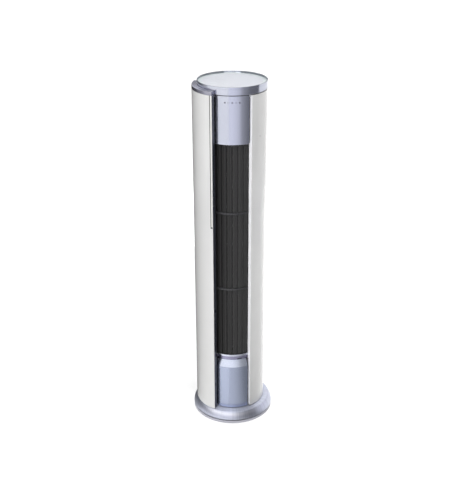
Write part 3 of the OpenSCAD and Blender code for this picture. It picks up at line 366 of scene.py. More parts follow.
def varyColour(material, value, colour, low, high):
    # the colour runs from low to high times itself
    ends = [(*shade(colour, factor), 1) for factor in (low, high)]
    setShader(material, {"Base Color": mixed(material, ranged(material, value, 0, 1), *ends)})


def varyRoughness(material, value, low, high):
    setShader(material, {"Roughness": ranged(material, value, low, high)})


def addRelief(material, value, depth, strength):
    bump = addNode(material, "Bump", {"Height": value, "Strength": strength, "Distance": depth})
    setShader(material, {"Normal": bump.outputs["Normal"]})


def multiplyColour(material, factor):
    shader = material.node_tree.nodes["Principled BSDF"]
    colour = shader.inputs["Base Color"].links[0].from_socket
    setShader(material, {"Base Color": mixed(material, 1, colour, factor, blend_type="MULTIPLY")})


def lacquer(colour, roughness, coat, cloudScale=9, peelScale=260, peel=0.00002):
    # sprayed or moulded gloss: a faint orange peel under a clear coat
    material = newFinish(colour, roughness)
    setShader(material, {"Coat Weight": coat, "Coat Roughness": 0.06})
    cloud = speckle(material, cloudScale, detail=2)
    varyColour(material, cloud, colour, 0.985, 1.01)
    varyRoughness(material, cloud, roughness * 0.85, roughness * 1.15)
    addRelief(material, speckle(material, peelScale, detail=1), peel, 0.5)
    return material


def brushedMetal(colour, roughness, lines, contrast, depth=0.000012, metallic=1.0):
    material = newFinish(colour, roughness, metallic)
    grain = strokes(material, lines)
    varyColour(material, grain, colour, 1 - contrast, 1 + contrast)
    varyRoughness(material, grain, roughness * 0.82, roughness * 1.2)
    addRelief(material, grain, depth, 0.6)
    return material


def mouldedPlastic(colour, roughness, grainScale=900, depth=0.00002, wear=0.12, cloudScale=14):
    material = newFinish(colour, roughness)
    cloud = speckle(material, cloudScale)
    varyColour(material, cloud, colour, 1 - wear, 1 + wear)
    varyRoughness(material, cloud, roughness * 0.88, min(1, roughness * 1.12))
    addRelief(material, speckle(material, grainScale, detail=2), depth, 0.5)
    return material


def sheetMetal(colour, roughness, spangle=60, grainScale=400):
    material = newFinish(colour, roughness, metallic=0.9)
    cells = addNode(material, "TexVoronoi", {"Vector": objectPlace(material), "Scale": spangle})
    varyColour(material, cells.outputs["Distance"], colour, 0.9, 1.08)
    varyRoughness(material, cells.outputs["Distance"], roughness * 0.8, roughness * 1.2)
    addRelief(material, speckle(material, grainScale), 0.00001, 0.4)
    return material


def drawnMetal(colour, roughness, stretch=(1, 1, 0.05), markScale=350, tarnishScale=25):
    # tube and turned metal, with fine drawing marks
    material = newFinish(colour, roughness, metallic=1.0)
    marks = speckle(material, markScale, stretch)
    varyColour(material, speckle(material, tarnishScale, detail=4), colour, 0.82, 1.08)
    varyRoughness(material, marks, roughness * 0.75, roughness * 1.3)
    addRelief(material, marks, 0.000015, 0.5)
    return material


def clearGlass(tint, depthTint, density, bending, smearScale=30):
    material = newFinish(tint, 0.0)
    setShader(material, {"Transmission Weight": 1.0, "IOR": bending})
    varyRoughness(material, speckle(material, smearScale), 0.0, 0.03)
    absorb = addNode(material, "VolumeAbsorption", {"Color": (*depthTint, 1), "Density": density})
    out = material.node_tree.nodes["Material Output"]
    setSocket(material, out.inputs["Volume"], absorb.outputs["Volume"])
    return material


def circuitBoard(colour, trackScale=90, trackWidth=0.03):
    material = newFinish(colour, 0.35)
    mapping = addNode(material, "Mapping", {"Vector": objectPlace(material), "Rotation": (deg(90), 0, 0)})
    tracks = addNode(material, "TexBrick", {"Vector": mapping.outputs["Vector"], "Scale": trackScale,
                                            "Mortar Size": trackWidth})
    varyColour(material, tracks.outputs["Fac"], colour, 1, 1.9)
    addRelief(material, tracks.outputs["Fac"], 0.00004, 0.5)
    return material


def woven(colour, threads=260):
    # the fine net of the filter
    material = newFinish(colour, 0.7)
    sockets = {"Vector": objectPlace(material), "Scale": threads}
    waves = [addNode(material, "TexWave", sockets, bands_direction=axis) for axis in ("X", "Z")]
    crossed = mathOf(material, "MAXIMUM", *[wave.outputs["Fac"] for wave in waves])
    varyColour(material, crossed, colour, 0.4, 1.6)
    addRelief(material, crossed, 0.0002, 0.8)
    return material


finishes = {
    "white_gloss": lacquer((0.625, 0.625, 0.622), 0.22, 0.4),
    "brushed_silver": brushedMetal((0.500, 0.520, 0.605), 0.17, 900, 0.03),
    "brushed_lower": brushedMetal((0.335, 0.370, 0.480), 0.21, 900, 0.03),
    "brushed_base": brushedMetal((0.47, 0.49, 0.585), 0.31, 64, 0.17, 0.00005, 0.88),
    "door_cap_metal": brushedMetal((0.45, 0.455, 0.55), 0.22, 300, 0.03),
    "light_grey_plastic": mouldedPlastic((0.66, 0.67, 0.71), 0.4, wear=0.02),
    "rubber": mouldedPlastic((0.022, 0.022, 0.024), 0.75, 500, 0.00004),
    "black_plastic": mouldedPlastic((0.022, 0.022, 0.026), 0.42),
    "vane_black": mouldedPlastic((0.0175, 0.0175, 0.018), 0.5, wear=0.06),
    "navy_trim": lacquer((0.026, 0.030, 0.045), 0.28, 0.3),
    "glass": clearGlass((0.98, 0.99, 0.99), (0.60, 0.74, 0.80), 5.0, 1.2),
    "steel_sheet": sheetMetal((0.52, 0.54, 0.57), 0.4),
    "aluminium": drawnMetal((0.72, 0.73, 0.75), 0.35),
    "copper": drawnMetal((0.72, 0.38, 0.24), 0.25),
    "brass": drawnMetal((0.74, 0.58, 0.26), 0.25, (1, 1, 1)),
    "board": circuitBoard((0.012, 0.09, 0.045)),
    "mesh": woven((0.05, 0.05, 0.055)),
    "cream_trim": lacquer((0.70, 0.695, 0.665), 0.3, 0.3),
    "mark_ink": mouldedPlastic((0.03, 0.03, 0.05), 0.5),
    # the right panel's fold: its white made brighter, a painted highlight
    "fold_painted_highlight": lacquer((0.95, 0.95, 0.98), 0.3, 0.2),
    # the sill's wall under the lip: a darker copy of the brushed silver, painted shade
    "sill_painted_shade": brushedMetal((0.26, 0.25, 0.36), 0.3, 900, 0.03),
    "plate_grey": mouldedPlastic((0.44, 0.44, 0.50), 0.45, wear=0.02),
    "glass_back": lacquer((0.93, 0.935, 1.0), 0.45, 0.0),
    "glass_ring": lacquer((0.92, 0.99, 1.0), 0.45, 0.0),
    # a dark teal band inside the glass's rim: painted shade for the glass's dark edge
    "glass_edge_painted_shade": lacquer((0.045, 0.085, 0.11), 0.4, 0.0),
    "spot_grey": mouldedPlastic((0.36, 0.36, 0.37), 0.5, wear=0.02),
}
for name, material in finishes.items():
    material.name = name
# painted light and shade: round the column (azimuth, factor), and along one axis (axis, span, factor at
# either end)
paintedShadingRound = {
    # the base: painted shadow of the column right of the front, and painted shade on its left
    "brushed_base": ((-180, 1.0), (-100, 0.9), (-60, 0.74), (-40, 0.82), (-27, 0.96), (-8, 0.99), (1, 0.88),
                     (8, 0.73), (18, 0.58), (30, 0.56), (39, 0.74), (48, 0.98), (180, 1.0)),
    # the door's top cap: painted shade towards its left end, with a painted highlight near -60 degrees
    "door_cap_metal": ((-180, 0.5), (-90, 0.55), (-72, 0.98), (-60, 1.08), (-48, 0.68), (-25, 0.60),
                       (180, 1.0)),
}
paintedShadingAlong = {
    # the lower panel: painted light, brighter towards its foot, over the dark reflection of the base
    "brushed_lower": ("Z", (0.07, 0.087), 1.6, 1.0, "LINEAR"),
    # the vanes: painted shadow of the door, darker towards the left
    "vane_black": ("X", (-0.075, 0.035), 0.38, 1.25, "SMOOTHSTEP"),
}
# the base's flat top keeps the coarse finish of the casting, so it mirrors less
flatTop = {"facing": (0.97, 0.995), "Metallic": (0.88, 0.25), "Roughness": (0.33, 0.5)}
vaneGloss = 0.3


def fadeRound(material, stops):
    # a strength for each azimuth round the column, counted from the front towards the right
    x, y, _ = partsOf(material, objectPlace(material))
    angle = mathOf(material, "ARCTAN2", x, mathOf(material, "MULTIPLY", y, -1))
    ramp = addNode(material, "ValToRGB", {"Fac": ranged(material, angle, 0, 1, (-pi, pi))})
    steps = ramp.color_ramp.elements
    while len(steps) < len(stops):
        steps.new(0.5)
    for step, (azimuth, strength) in zip(steps, stops):
        step.position = (azimuth + 180) / 360
        step.color = (strength, strength, strength, 1)
    return ramp.outputs["Color"]


def shadeFinishes():
    casting = finishes["brushed_base"]
    facing = addNode(casting, "NewGeometry", {}).outputs["True Normal"]
    up = partsOf(casting, facing)["Z"]
    for name in ("Metallic", "Roughness"):
        setShader(casting, {name: ranged(casting, up, *flatTop[name], flatTop["facing"])})
    # painted light and shade are multiplied into the colours of these finishes
    for name, stops in paintedShadingRound.items():
        multiplyColour(finishes[name], fadeRound(finishes[name], stops))
    for name, (axis, span, low, high, form) in paintedShadingAlong.items():
        material = finishes[name]
        place = partsOf(material, objectPlace(material))[axis]
        multiplyColour(material, ranged(material, place, low, high, span, interpolation_type=form))
    setShader(finishes["vane_black"], {"Specular IOR Level": vaneGloss})


shadeFinishes()
print("finishes made:", len(finishes))


# Base

base = {
    "flareSteps": 14,
    "flareWidth": 0.021,
    "flareShare": 0.35,            # how much the flare is hollowed
    "rimRound": 0.0016,
    "lip": (0.00072, 0.0012),      # the shadow line between rim and flare: in and down
    "wall": 0.003,
    "track": (0.1445, 0.1515),     # the door's glides run in it
    "trackDeep": 0.005,
    "pedestalGap": 0.0003,
    "edge": (0.0005, 2),           # how wide edges are rounded, and in how many steps
    "plinthEdge": (0.0008, 3),
}
basePlate = {
    "web": 0.004,
    "wall": 0.003,
    "edge": (0.001, 3),
    "hole": 0.045,
    "ring": (0.110, 0.118),        # it carries the pedestal
    "anchorR": 0.0045,
    "anchorTurn": deg(45),
    "pocketR": 0.0183,             # for the foot pads
    "pocketDeep": 0.0025,
    "drill": (-0.01, 0.03),
}
footPad = {"count": 4, "pitch": 0.175, "r": 0.018, "round": 0.0018, "grooves": 3, "groove": 0.0006}
footTurns = fan(0, fullTurn, fullTurn / footPad["count"])[:-1]


def makeBase():
    out, rimZ, top = reach("base_cover", "r1 z0 z1")
    rimTop = levels("base_cover")[2]
    plinth0, plinth1, low, high = reach("base_plinth", "r0 r1 z0 z1")
    flat = reach("pedestal", "r1")[0] + base["pedestalGap"]
    wide, wall, r = base["flareWidth"], base["wall"], base["rimRound"]
    lipIn, lipDown = base["lip"]
    track0, track1 = base["track"]
    flatR = out - wide
    trough = top - base["trackDeep"]
    section = [(plinth0, rimZ)] + roundCorner(out - r, rimZ + r, r, deg(-90), 0)
    section += [(out, rimTop - lipDown), (out - lipIn, rimTop)]
    for k in range(1, base["flareSteps"] + 1):
        t = deg(90) * k / base["flareSteps"]
        section.append((flatR + wide * cos(t) * (1 - base["flareShare"] * sin(t)),
                        rimTop + (top - rimTop) * sin(t)))
    section += [(track1, top), (track1, trough), (track0, trough), (track0, top), (flat, top),
                (flat, top - wall), (track0 - wall, top - wall), (track0 - wall, trough - wall),
                (track1 + wall, trough - wall), (track1 + wall, top - wall), (flatR - wall, top - wall),
                (out - wide / 2, rimZ + wall), (plinth0, rimZ + wall)]
    piece("baseCover", revolved(section), "brushed_base", ["base_cover"], base["edge"])
    piece("basePlinth", revolved(rectangle(plinth0, plinth1, low, high)), "black_plastic", ["base_plinth"],
          base["plinthEdge"])


def makeBasePlate():
    out, web0, top = reach("base_plate", "r1 z0 z1")
    web1 = web0 + basePlate["web"]
    wall, hole = basePlate["wall"], basePlate["hole"]
    ring0, ring1 = basePlate["ring"]
    drill0, drill1 = basePlate["drill"]
    section = [(hole, web0), (out, web0), (out, top), (out - wall, top), (out - wall, web1),
               (ring1, web1), (ring1, top), (ring0, top), (ring0, web1), (hole, web1)]
    anchor = drill(basePlate["anchorR"], drill0, drill1)
    pocket = drill(basePlate["pocketR"], drill0, web0 + basePlate["pocketDeep"], sides=40)
    cuts = []
    for turn in footTurns:
        cuts.append(placed(anchor, upright(footPad["pitch"], basePlate["anchorTurn"] + turn)))
        cuts.append(placed(pocket, upright(footPad["pitch"], turn)))
    piece("basePlate", revolved(section), "plate_grey", ["base_plate"], basePlate["edge"], cuts=cuts)


def makeFootPads():
    top, = reach("foot_pads", "z1")
    r, edge, groove = footPad["r"], footPad["round"], footPad["groove"]
    profile = [(discCore, 0)]
    for k in range(1, footPad["grooves"] + 1):
        middle = r * k / (footPad["grooves"] + 1)
        profile += [(middle - groove, 0), (middle, groove), (middle + groove, 0)]
    profile += [(r - edge, 0), (r, edge), (r, top), (discCore, top)]
    pads = [placed(lathe(profile, sides=40), upright(footPad["pitch"], turn)) for turn in footTurns]
    piece("footPads", together(*pads), "rubber", ["foot_pads"])


makeBase()
makeBasePlate()
makeFootPads()
print("base made")


# Side panels: a skin with a folded front edge that turns in towards the louvre

panel = {
    "wall": 0.003,
    "foldRound": 0.0016,
    "roundSteps": 6,
    "edge": (0.0006, 2),
    "step": 0.1558,          # the fold is shorter inside this radius,
    "foldOver": 0.0045,      # and goes on past it by this, into the skin
    "face": 0.0003,          # the face of the right panel's fold that carries a painted highlight stands out by this
}
spot = {"a": deg(52), "z": 1.552, "r": 0.0035, "hole": (-0.0005, 0.01), "gap": 0.0002,
        "inlay": (-0.0004, -0.0001)}


def foldSection(node, r0, r1, inset):
    # the folded edge: full height outside, and shorter inside so that the carriers pass it
    z0, z1 = reach(node, "z0 z1")
    heights = levels(node)
    step = panel["step"]
    low, high = z0 + inset, z1 - inset
    inLow, inHigh = heights[1] + inset, heights[-2] - inset
    return [(r0, inLow), (step, inLow), (step, low), (r1, low), (r1, high), (step, high), (step, inHigh),
            (r0, inHigh)]


def makePanel(name, node, way, cuts=()):
    r0, r1, a0, a1, z0, z1 = reach(node, "r0 r1 a0 a1 z0 z1")
    aFront, aRear = (a0, a1)[::way]
    wall, corner, steps = panel["wall"], panel["foldRound"], panel["roundSteps"]
    rFold = panel["step"] + wall
    turns = fan(aFront + way * corner / r1, aRear)
    outer = [polar(rFold, aFront), polar(r1 - corner, aFront)] + skinCorner(r1, aFront, corner, way, steps)
    outer += arc(r1, turns)
    hem = aFront + way * wall / rFold
    inner = [polar(rFold, hem)] + [polar(r1 - wall, hem)] * (steps + 1) + arc(r1 - wall, turns[1:])
    skin = ribbon([(outer, inner, z0), (outer, inner, z1)])
    piece(name, skin, "white_gloss", [node], panel["edge"], cuts=cuts)
    fold = foldSection(node, r0, panel["step"] + panel["foldOver"], 0)
    piece(name + "Fold", revolved(fold, *sorted((aFront, aFront + way * wall / r0))), "white_gloss")


def atSpot(shape):
    r1, = reach("right_panel", "r1")
    return placed(shape, outwards(spot["a"], r1, spot["z"]))


# a thin face on the fold, in a brighter copy of the white: painted highlight
def makeFoldFace():
    r0, r1, a0 = reach("right_panel", "r0 r1 a0")
    face = panel["face"]
    section = foldSection("right_panel", r0 + face, r1 - panel["foldRound"], panel["wall"] / 2)
    piece("rightFoldFace", revolved(section, a0 - face / r0, a0 + face / r0 / 2), "fold_painted_highlight")


makePanel("rightPanel", "right_panel", 1, [atSpot(drill(spot["r"], *spot["hole"]))])
piece("panelSpot", atSpot(rod(spot["r"] - spot["gap"], *spot["inlay"])), "spot_grey")
makeFoldFace()
makePanel("leftPanel", "left_panel", -1)
print("side panels made")


# Display panel, lower panel, sill and the dark trims beside them

front = {"turn": deg(30), "wall": 0.0025, "returns": 0.008, "hemOver": 0.001, "edge": (0.0012, 3)}
touch = {"drop": 0.031, "turn": deg(12.5), "ring": (0.0028, 0.0042), "dot": 0.0016, "high": 0.00015,
         "sunk": 0.0001, "dots": (deg(-7.6), deg(-5.4), deg(5.6), deg(7.2))}
lower = {
    "sillR": 0.1388,
    "shoulderZ": 0.307,
    "pullIn": 0.018,         # how far the shoulder leans back
    "soft": 0.006,
    "softSteps": 6,
    "topEdge": ((0.0012, 0.003), (0.0, 0.0008), (-0.002, 0.0)),      # out and down
    "topInside": 0.0035,
    "over": 0.0005,
    "edge": (0.0008, 2),
}
sill = {
    "lipDrop": 0.008,
    "wallR": 0.1385,
    "wall": 0.0025,
    "backR": 0.143,
    "wallTurn": deg(35.2),
    "lipTurn": deg(33.2),
    "lipRound": 0.0016,
    "over": 0.0002,
    "edge": (0.0003, 3),
    "lipEdge": (0.0003, 2),
    "slot": (0.024, 0.006),
    "slotZ": 0.354,
    "slotTurn": deg(15.5),
    "slotDeep": (-0.001, 0.0015),
    "window": (0.0006, 0.0014),
}
trims = {"spans": ((deg(-36.2), deg(-30.3)), (deg(30.3), deg(33.2))), "edge": (0.0004, 2)}


def makeDisplay():
    r1, z0, z1 = reach("display_panel", "r1 z0 z1")
    a1, wall = front["turn"], front["wall"]
    rIn = r1 - wall
    rDeep = rIn - front["returns"]
    hem = a1 - wall / rIn
    turns = fan(-a1, a1)
    outer = [polar(rDeep, -a1), *arc(r1, turns), polar(rDeep, a1)]
    inner = [polar(rDeep, -hem), *arc(rIn, [max(-hem, min(hem, a)) for a in turns]), polar(rDeep, hem)]
    shell = ribbon([(outer, inner, z0), (outer, inner, z1)])
    foot = revolved(rectangle(rDeep, rIn + front["hemOver"], z0, z0 + wall), -hem, hem)
    piece("displayPanel", together(shell, foot), "brushed_silver", ["display_panel"], front["edge"])


def makeTouchMarks():
    r1, z1 = reach("display_panel", "r1 z1")
    ring = lathe(rectangle(*touch["ring"], 0, touch["high"]), sides=32)
    dot = rod(touch["dot"], 0, touch["high"], sides=20)
    marks = [(k * touch["turn"], together(ring, dot)) for k in (-1, 0, 1)]
    marks += [(a, dot) for a in touch["dots"]]
    marks = [placed(mark, outwards(a, r1 - touch["sunk"], z1 - touch["drop"])) for a, mark in marks]
    piece("touchMarks", together(*marks), "mark_ink")


def makeLowerPanel():
    out, z0, z1 = reach("lower_panel", "r1 z0 z1")
    a1, wall = front["turn"], front["wall"]
    rIn, topR = out - wall, out - lower["pullIn"]
    shoulderZ, sillR, soft = lower["shoulderZ"], lower["sillR"], lower["soft"]
    lean, steps = atan2(lower["pullIn"], z1 - shoulderZ), lower["softSteps"]
    section = [(rIn, z0), (out, z0)]
    for k in range(steps + 1):
        up = k / steps
        section.append((out - 2 * soft * (1 - cos(lean * up)), shoulderZ + soft * (2 * up - 1)))
    section += [(topR + over, z1 - down) for over, down in lower["topEdge"]]
    section += [(sillR, z1), (sillR, z1 - wall), (topR - lower["topInside"], z1 - wall),
                (rIn, shoulderZ - wall / 4)]
    side = rectangle(rIn - front["returns"], rIn + lower["over"], z0, shoulderZ - soft)
    fold = wall / rIn
    sides = [revolved(side, a, a + fold) for a in (-a1, a1 - fold)]
    skin = together(revolved(section, -a1, a1), *sides)
    piece("lowerPanel", skin, "brushed_lower", ["lower_panel"], lower["edge"])


def inSlot(depths):
    # a block as wide and high as the sill's slot, between two depths behind the wall's face
    wide, high = sill["slot"]
    turn, middle = sill["slotTurn"], sill["slotZ"]
    block = raised(rectangle(-wide / 2, wide / 2, *depths), middle - high / 2, middle + high / 2)
    return placed(block, upright(sill["wallR"], turn) @ Matrix.Rotation(turn, 4, "Z"))


def makeSill():
    out, z0, z1 = reach("sill", "r1 z0 z1")
    wallR, wall, r = sill["wallR"], sill["wall"], sill["lipRound"]
    lipZ = z1 - sill["lipDrop"]
    back = rectangle(wallR - wall, wallR, z0, lipZ + sill["over"])
    lip = [(wallR - wall / 2, lipZ - wall)] + roundCorner(out - r, lipZ - wall + r, r, deg(-90), 0)
    lip += roundCorner(out - r, z1 - r, r, 0, deg(90))
    lip += [(sill["backR"], z1), (sill["backR"], lipZ), (wallR - wall / 2, lipZ)]
    # the sill's wall carries painted shade from the lip above
    piece("sill", revolved(back, -sill["wallTurn"], sill["wallTurn"]), "sill_painted_shade", edge=sill["edge"],
          cuts=[inSlot(sill["slotDeep"])])
    lip = revolved(lip, -sill["lipTurn"], sill["lipTurn"])
    piece("sillLip", lip, "brushed_silver", ["sill"], sill["lipEdge"])
    piece("sillWindow", inSlot(sill["window"]), "navy_trim")


def makeTrims():
    r0, r1 = reach("side_trims", "r0 r1")
    heights = levels("side_trims")
    strips = [revolved(rectangle(r0, r1, z0, z1), a0, a1)
              for a0, a1 in trims["spans"] for z0, z1 in (heights[0:2], heights[2:4])]
    piece("sideTrims", together(*strips), "navy_trim", ["side_trims"], trims["edge"])


makeDisplay()
makeTouchMarks()
makeLowerPanel()
makeSill()
makeTrims()
print("front panels made")


# Louvre: six upright vanes in a dark frame, with two cross ribs

louvre = {
    "vanes": 6,
    "pitch": deg(11.5),
    "r": 0.140,
    "footZ": 0.382,
    "plate": 0.006,          # the frame's sole and head
    "bladeSteps": 12,
    "flatShare": 0.4,        # the middle of a blade's front is flat, and its edges roll back
    "rollBack": 0.0027,
    "thick": 0.0032,
    "gap": 0.001,
    "clear": 0.002,
    "ribClear": 0.001,
    "edge": (0.0006, 2),
    "shaftR": 0.003,
    "shaftPast": 0.010,
}
crank = {
    "lift": 0.001,           # above the frame's head
    "long": 0.007,
    "boss": 0.0042,
    "bossTurn": deg(65),
    "tip": 0.003,
    "thick": 0.003,
    "pinR": 0.0015,
    "pinHigh": 0.004,
    "pinFrom": 0.004,        # how the CAD node's pin is found: its top is further out than this,
    "pinNear": 0.0001,       # and this near the right height
    "driveR": 0.002,
}
outlet = {"jambs": (deg(35.2), deg(37.5)), "boreR": 0.0031, "boreHigh": 1.3, "boreUnder": 0.01,
          "edge": (0.0004, 2), "jambEdge": (0.0006, 3)}
rib = {"back": (0.134, 0.1418), "face": (0.1414, 0.1455), "faceTurn": deg(33.2), "faceIn": 0.0006,
       "edge": (0.0008, 3)}


def vaneTurn(k):
    return (k - (louvre["vanes"] - 1) / 2) * louvre["pitch"]


def vaneOutline(middle):
    r, steps, thick = louvre["r"], louvre["bladeSteps"], louvre["thick"]
    half = louvre["pitch"] / 2 - louvre["gap"] / r / 2
    outer, inner = [], []
    for k in range(-steps, steps + 1):
        t = k / steps
        past = max(0, abs(t) - louvre["flatShare"]) / (1 - louvre["flatShare"])
        outer.append(polar(r + thick / 2 - louvre["rollBack"] * past * past, middle + t * half))
        inner.insert(0, polar(r - thick / 2, middle + t * half))
    return outer + inner


def makeVanes():
    ribs = levels("vane_ribs")
    clear, ribClear = louvre["clear"], louvre["ribClear"]
    top = reach("outlet_frame", "z1")[0] - louvre["plate"]
    shaftLow, = reach("vane_1", "z0")
    lows = (louvre["footZ"] + clear, ribs[1] + ribClear, ribs[3] + ribClear)
    highs = (ribs[0] - ribClear, ribs[2] - ribClear, top - clear)
    for k in range(louvre["vanes"]):
        node, middle = f"vane_{k + 1}", vaneTurn(k)
        blades = [raised(vaneOutline(middle), low, high) for low, high in zip(lows, highs)]
        shaft = rod(louvre["shaftR"], 0, top + louvre["shaftPast"] - shaftLow, sides=24)
        shaft = placed(shaft, upright(louvre["r"], middle, shaftLow))
        vane = together(*blades, shaft, *vaneCrank(node, *polar(louvre["r"], middle)))
        piece(f"vane{k + 1}", vane, "vane_black", [node], louvre["edge"], body=node)


def vaneCrank(node, x, y):
    # the crank on top of the shaft points at the CAD node's pin; the first vane has the drive's stub too
    low = reach("outlet_frame", "z1")[0] + crank["lift"]
    high = low + crank["thick"]
    pin = [p for p in pointsOf(node) if abs(p.z - high - crank["pinHigh"]) < crank["pinNear"]
           and hypot(p.x - x, p.y - y) > crank["pinFrom"]]
    way = atan2(sum(p.y for p in pin) / len(pin) - y, sum(p.x for p in pin) / len(pin) - x)
    tipX, tipY = x + crank["long"] * cos(way), y + crank["long"] * sin(way)
    back = way + deg(180)
    arm = roundCorner(x, y, crank["boss"], back - crank["bossTurn"], back + crank["bossTurn"], steps=8)
    tip = roundCorner(tipX, tipY, crank["tip"], way - deg(90), way + deg(90), steps=8)
    peg = rod(crank["pinR"], 0, crank["pinHigh"], sides=20)
    parts = [raised(arm + tip, low, high), placed(peg, Matrix.Translation((tipX, tipY, high)))]
    if node == "vane_1":
        stub = rod(crank["driveR"], 0, reach(node, "z1")[0] - high, sides=20)
        parts.append(placed(stub, Matrix.Translation((x, y, high))))
    return parts


def makeLouvreFrame():
    r0, r1, z0, z1 = reach("outlet_frame", "r0 r1 z0 z1")
    inLow, inHigh = z0 + louvre["plate"], z1 - louvre["plate"]
    a0, a1 = outlet["jambs"]
    bore = drill(outlet["boreR"], 0, outlet["boreHigh"], sides=24)
    holes = [placed(bore, upright(louvre["r"], vaneTurn(k), z0 - outlet["boreUnder"]))
             for k in range(louvre["vanes"])]
    plates = (("outletSole", z0, inLow, []), ("outletHead", inHigh, z1, ["outlet_frame"]))
    for name, low, high, nodes in plates:
        plate = revolved(rectangle(r0, r1, low, high), -a1, a1)
        roundEdges(piece(name, plate, "black_plastic", nodes, cuts=holes), *outlet["edge"])
    jambs = [revolved(rectangle(r0, r1, inLow, inHigh), b0, b1) for b0, b1 in ((-a1, -a0), (a0, a1))]
    piece("outletJambs", together(*jambs), "black_plastic", edge=outlet["jambEdge"])
    heights = levels("vane_ribs")
    ribs = []
    for low, high in (heights[0:2], heights[2:4]):
        ribs.append(revolved(rectangle(*rib["back"], low, high), -a0, a0))
        face = rectangle(*rib["face"], low + rib["faceIn"], high - rib["faceIn"])
        ribs.append(revolved(face, -rib["faceTurn"], rib["faceTurn"]))
    piece("vaneRibs", together(*ribs), "black_plastic", ["vane_ribs"], rib["edge"])


makeVanes()
makeLouvreFrame()
print("louvre made")


# Cap and its glass

cap = {
    "wall": 0.003,
    "ring": (0.080, 0.088),      # the socket that the cap's post stands in
    "ringLow": 0.004,
    "line": 0.0006,
    "seat": (0.0015, 0.0012),    # the glass's seat: in from the band, and down
    "edge": (0.0003, 2),
}
glass = {"round": 0.0006, "gap": 0.0002, "backR": 0.146, "backEdge": (0.0002, 2), "bezel": 0.0012,
         "bezelRound": 0.0003, "wall": 0.001, "pane": 0.001, "edgeShade": 0.0004, "edgeShadeTurn": deg(166)}


def makeCap():
    r, z0, z1 = reach("cap_cover", "r1 z0 z1")
    wall, line = cap["wall"], cap["line"]
    ring0, ring1 = cap["ring"]
    low, under = z0 + cap["ringLow"], z1 - wall
    seat, seatZ = r - cap["seat"][0], z1 - cap["seat"][1]
    section = [(discCore, under), (ring0, under), (ring0, low), (ring1, low), (ring1, under),
               (r - wall, under), (r - wall, z0), (r - line, z0), (r, z0 + line), (r, z1 - line),
               (r - line, z1), (seat, z1), (seat, seatZ), (discCore, seatZ)]
    piece("capCover", revolved(section), "brushed_silver", ["cap_cover"], cap["edge"])
    # what shows through the glass: a pale disc and a ring round it
    gap, back = glass["gap"], glass["backR"]
    for name, inner, outer in (("Back", discCore, back), ("Ring", back + gap, seat - gap)):
        disc = revolved(rectangle(inner, outer, seatZ + gap, z1 - 2 * gap))
        piece("glass" + name, disc, "glass_" + name.lower(), edge=glass["backEdge"])


def makeGlass():
    # the glass is a lid: a pane with a rim that stands on the cap, held in a slim metal band
    r1, z0, z1 = reach("glass_disc", "r1 z0 z1")
    gap, r, bandR = glass["gap"], glass["round"], glass["bezelRound"]
    out = r1 - glass["bezel"] - gap
    inside, low, under, top = out - glass["wall"], z0 + gap, z1 - glass["pane"], z1 - gap
    rim = [(inside, low), (out, low)] + roundCorner(out - r, z1 - r, r, 0, deg(90), steps=4)
    rim += [(discCore, z1), (discCore, under), (inside, under)]
    piece("glassDisc", revolved(rim), "glass", ["glass_disc"])
    band = [(out + gap, low), (r1, low)] + roundCorner(r1 - bandR, top - bandR, bandR, 0, deg(90), steps=4)
    piece("glassBezel", revolved(band + [(out + gap, top)]), "brushed_silver")
    # a dark band inside the rim paints the dark edge the glass shows at its sides: painted shade
    edgeShade = rectangle(inside - gap - glass["edgeShade"], inside - gap, low, under - gap)
    piece("glassEdgeShade", revolved(edgeShade, -glass["edgeShadeTurn"], glass["edgeShadeTurn"]), "glass_edge_painted_shade")


makeCap()
makeGlass()
print("cap made")


# Door: the wide white panel that slides round the left of the column

door = {
    "wall": 0.003,
    "fold": 0.004,
    "corner": 0.005,
    "leadCorner": 0.0011,
    "cornerSteps": 7,
    "innerFrom": 1.3,        # in folds: here the inner line leaves the corner
    "innerStep": 0.0001,     # spacing of the inner points opposite the corner, an angle,
    "leadStep": 0.00001,     # and opposite the leading corner
    "edge": (0.0006, 2),
    "lip": 0.0003,
}
trim = {
    "groove": 0.001,              # the trim strip is let in by this
    "grooveStep": 0.0003,
    "grooveTurn": deg(1.1),       # how finely the groove and the strips in it are divided
    "stripTurn": deg(0.7),
    "shadowTurn": deg(0.4),
    "darkLine": 0.0042,           # the shadow beside the strip
    "shadow": (0.00005, 0.0003),  # its face: above the groove, and under the skin
    "shadowLow": 0.0008,
    "shadowGap": (0.0004, 0.0002),
    "stripUp": 0.0001,
    "stripLow": 0.0012,
    "stripGap": 0.0003,
    "foot": 0.008,
    "footFace": (0.0001, 0.0002),
    "edge": (0.0004, 3),
}
doorCap = {"round": 0.004, "groove": (0.002, 0.0026, 0.0044, 0.005), "grooveDeep": 0.0012,
           "edge": (0.0008, 3)}


def stripTurns():
    # where the trim strip starts and ends on the door's face
    r1, a1 = reach("door_shell", "r1 a1")
    strip0, strip1 = reach("door_edge_trim", "a0 a1")
    return strip0, min(strip1, a1 - door["leadCorner"] / r1)


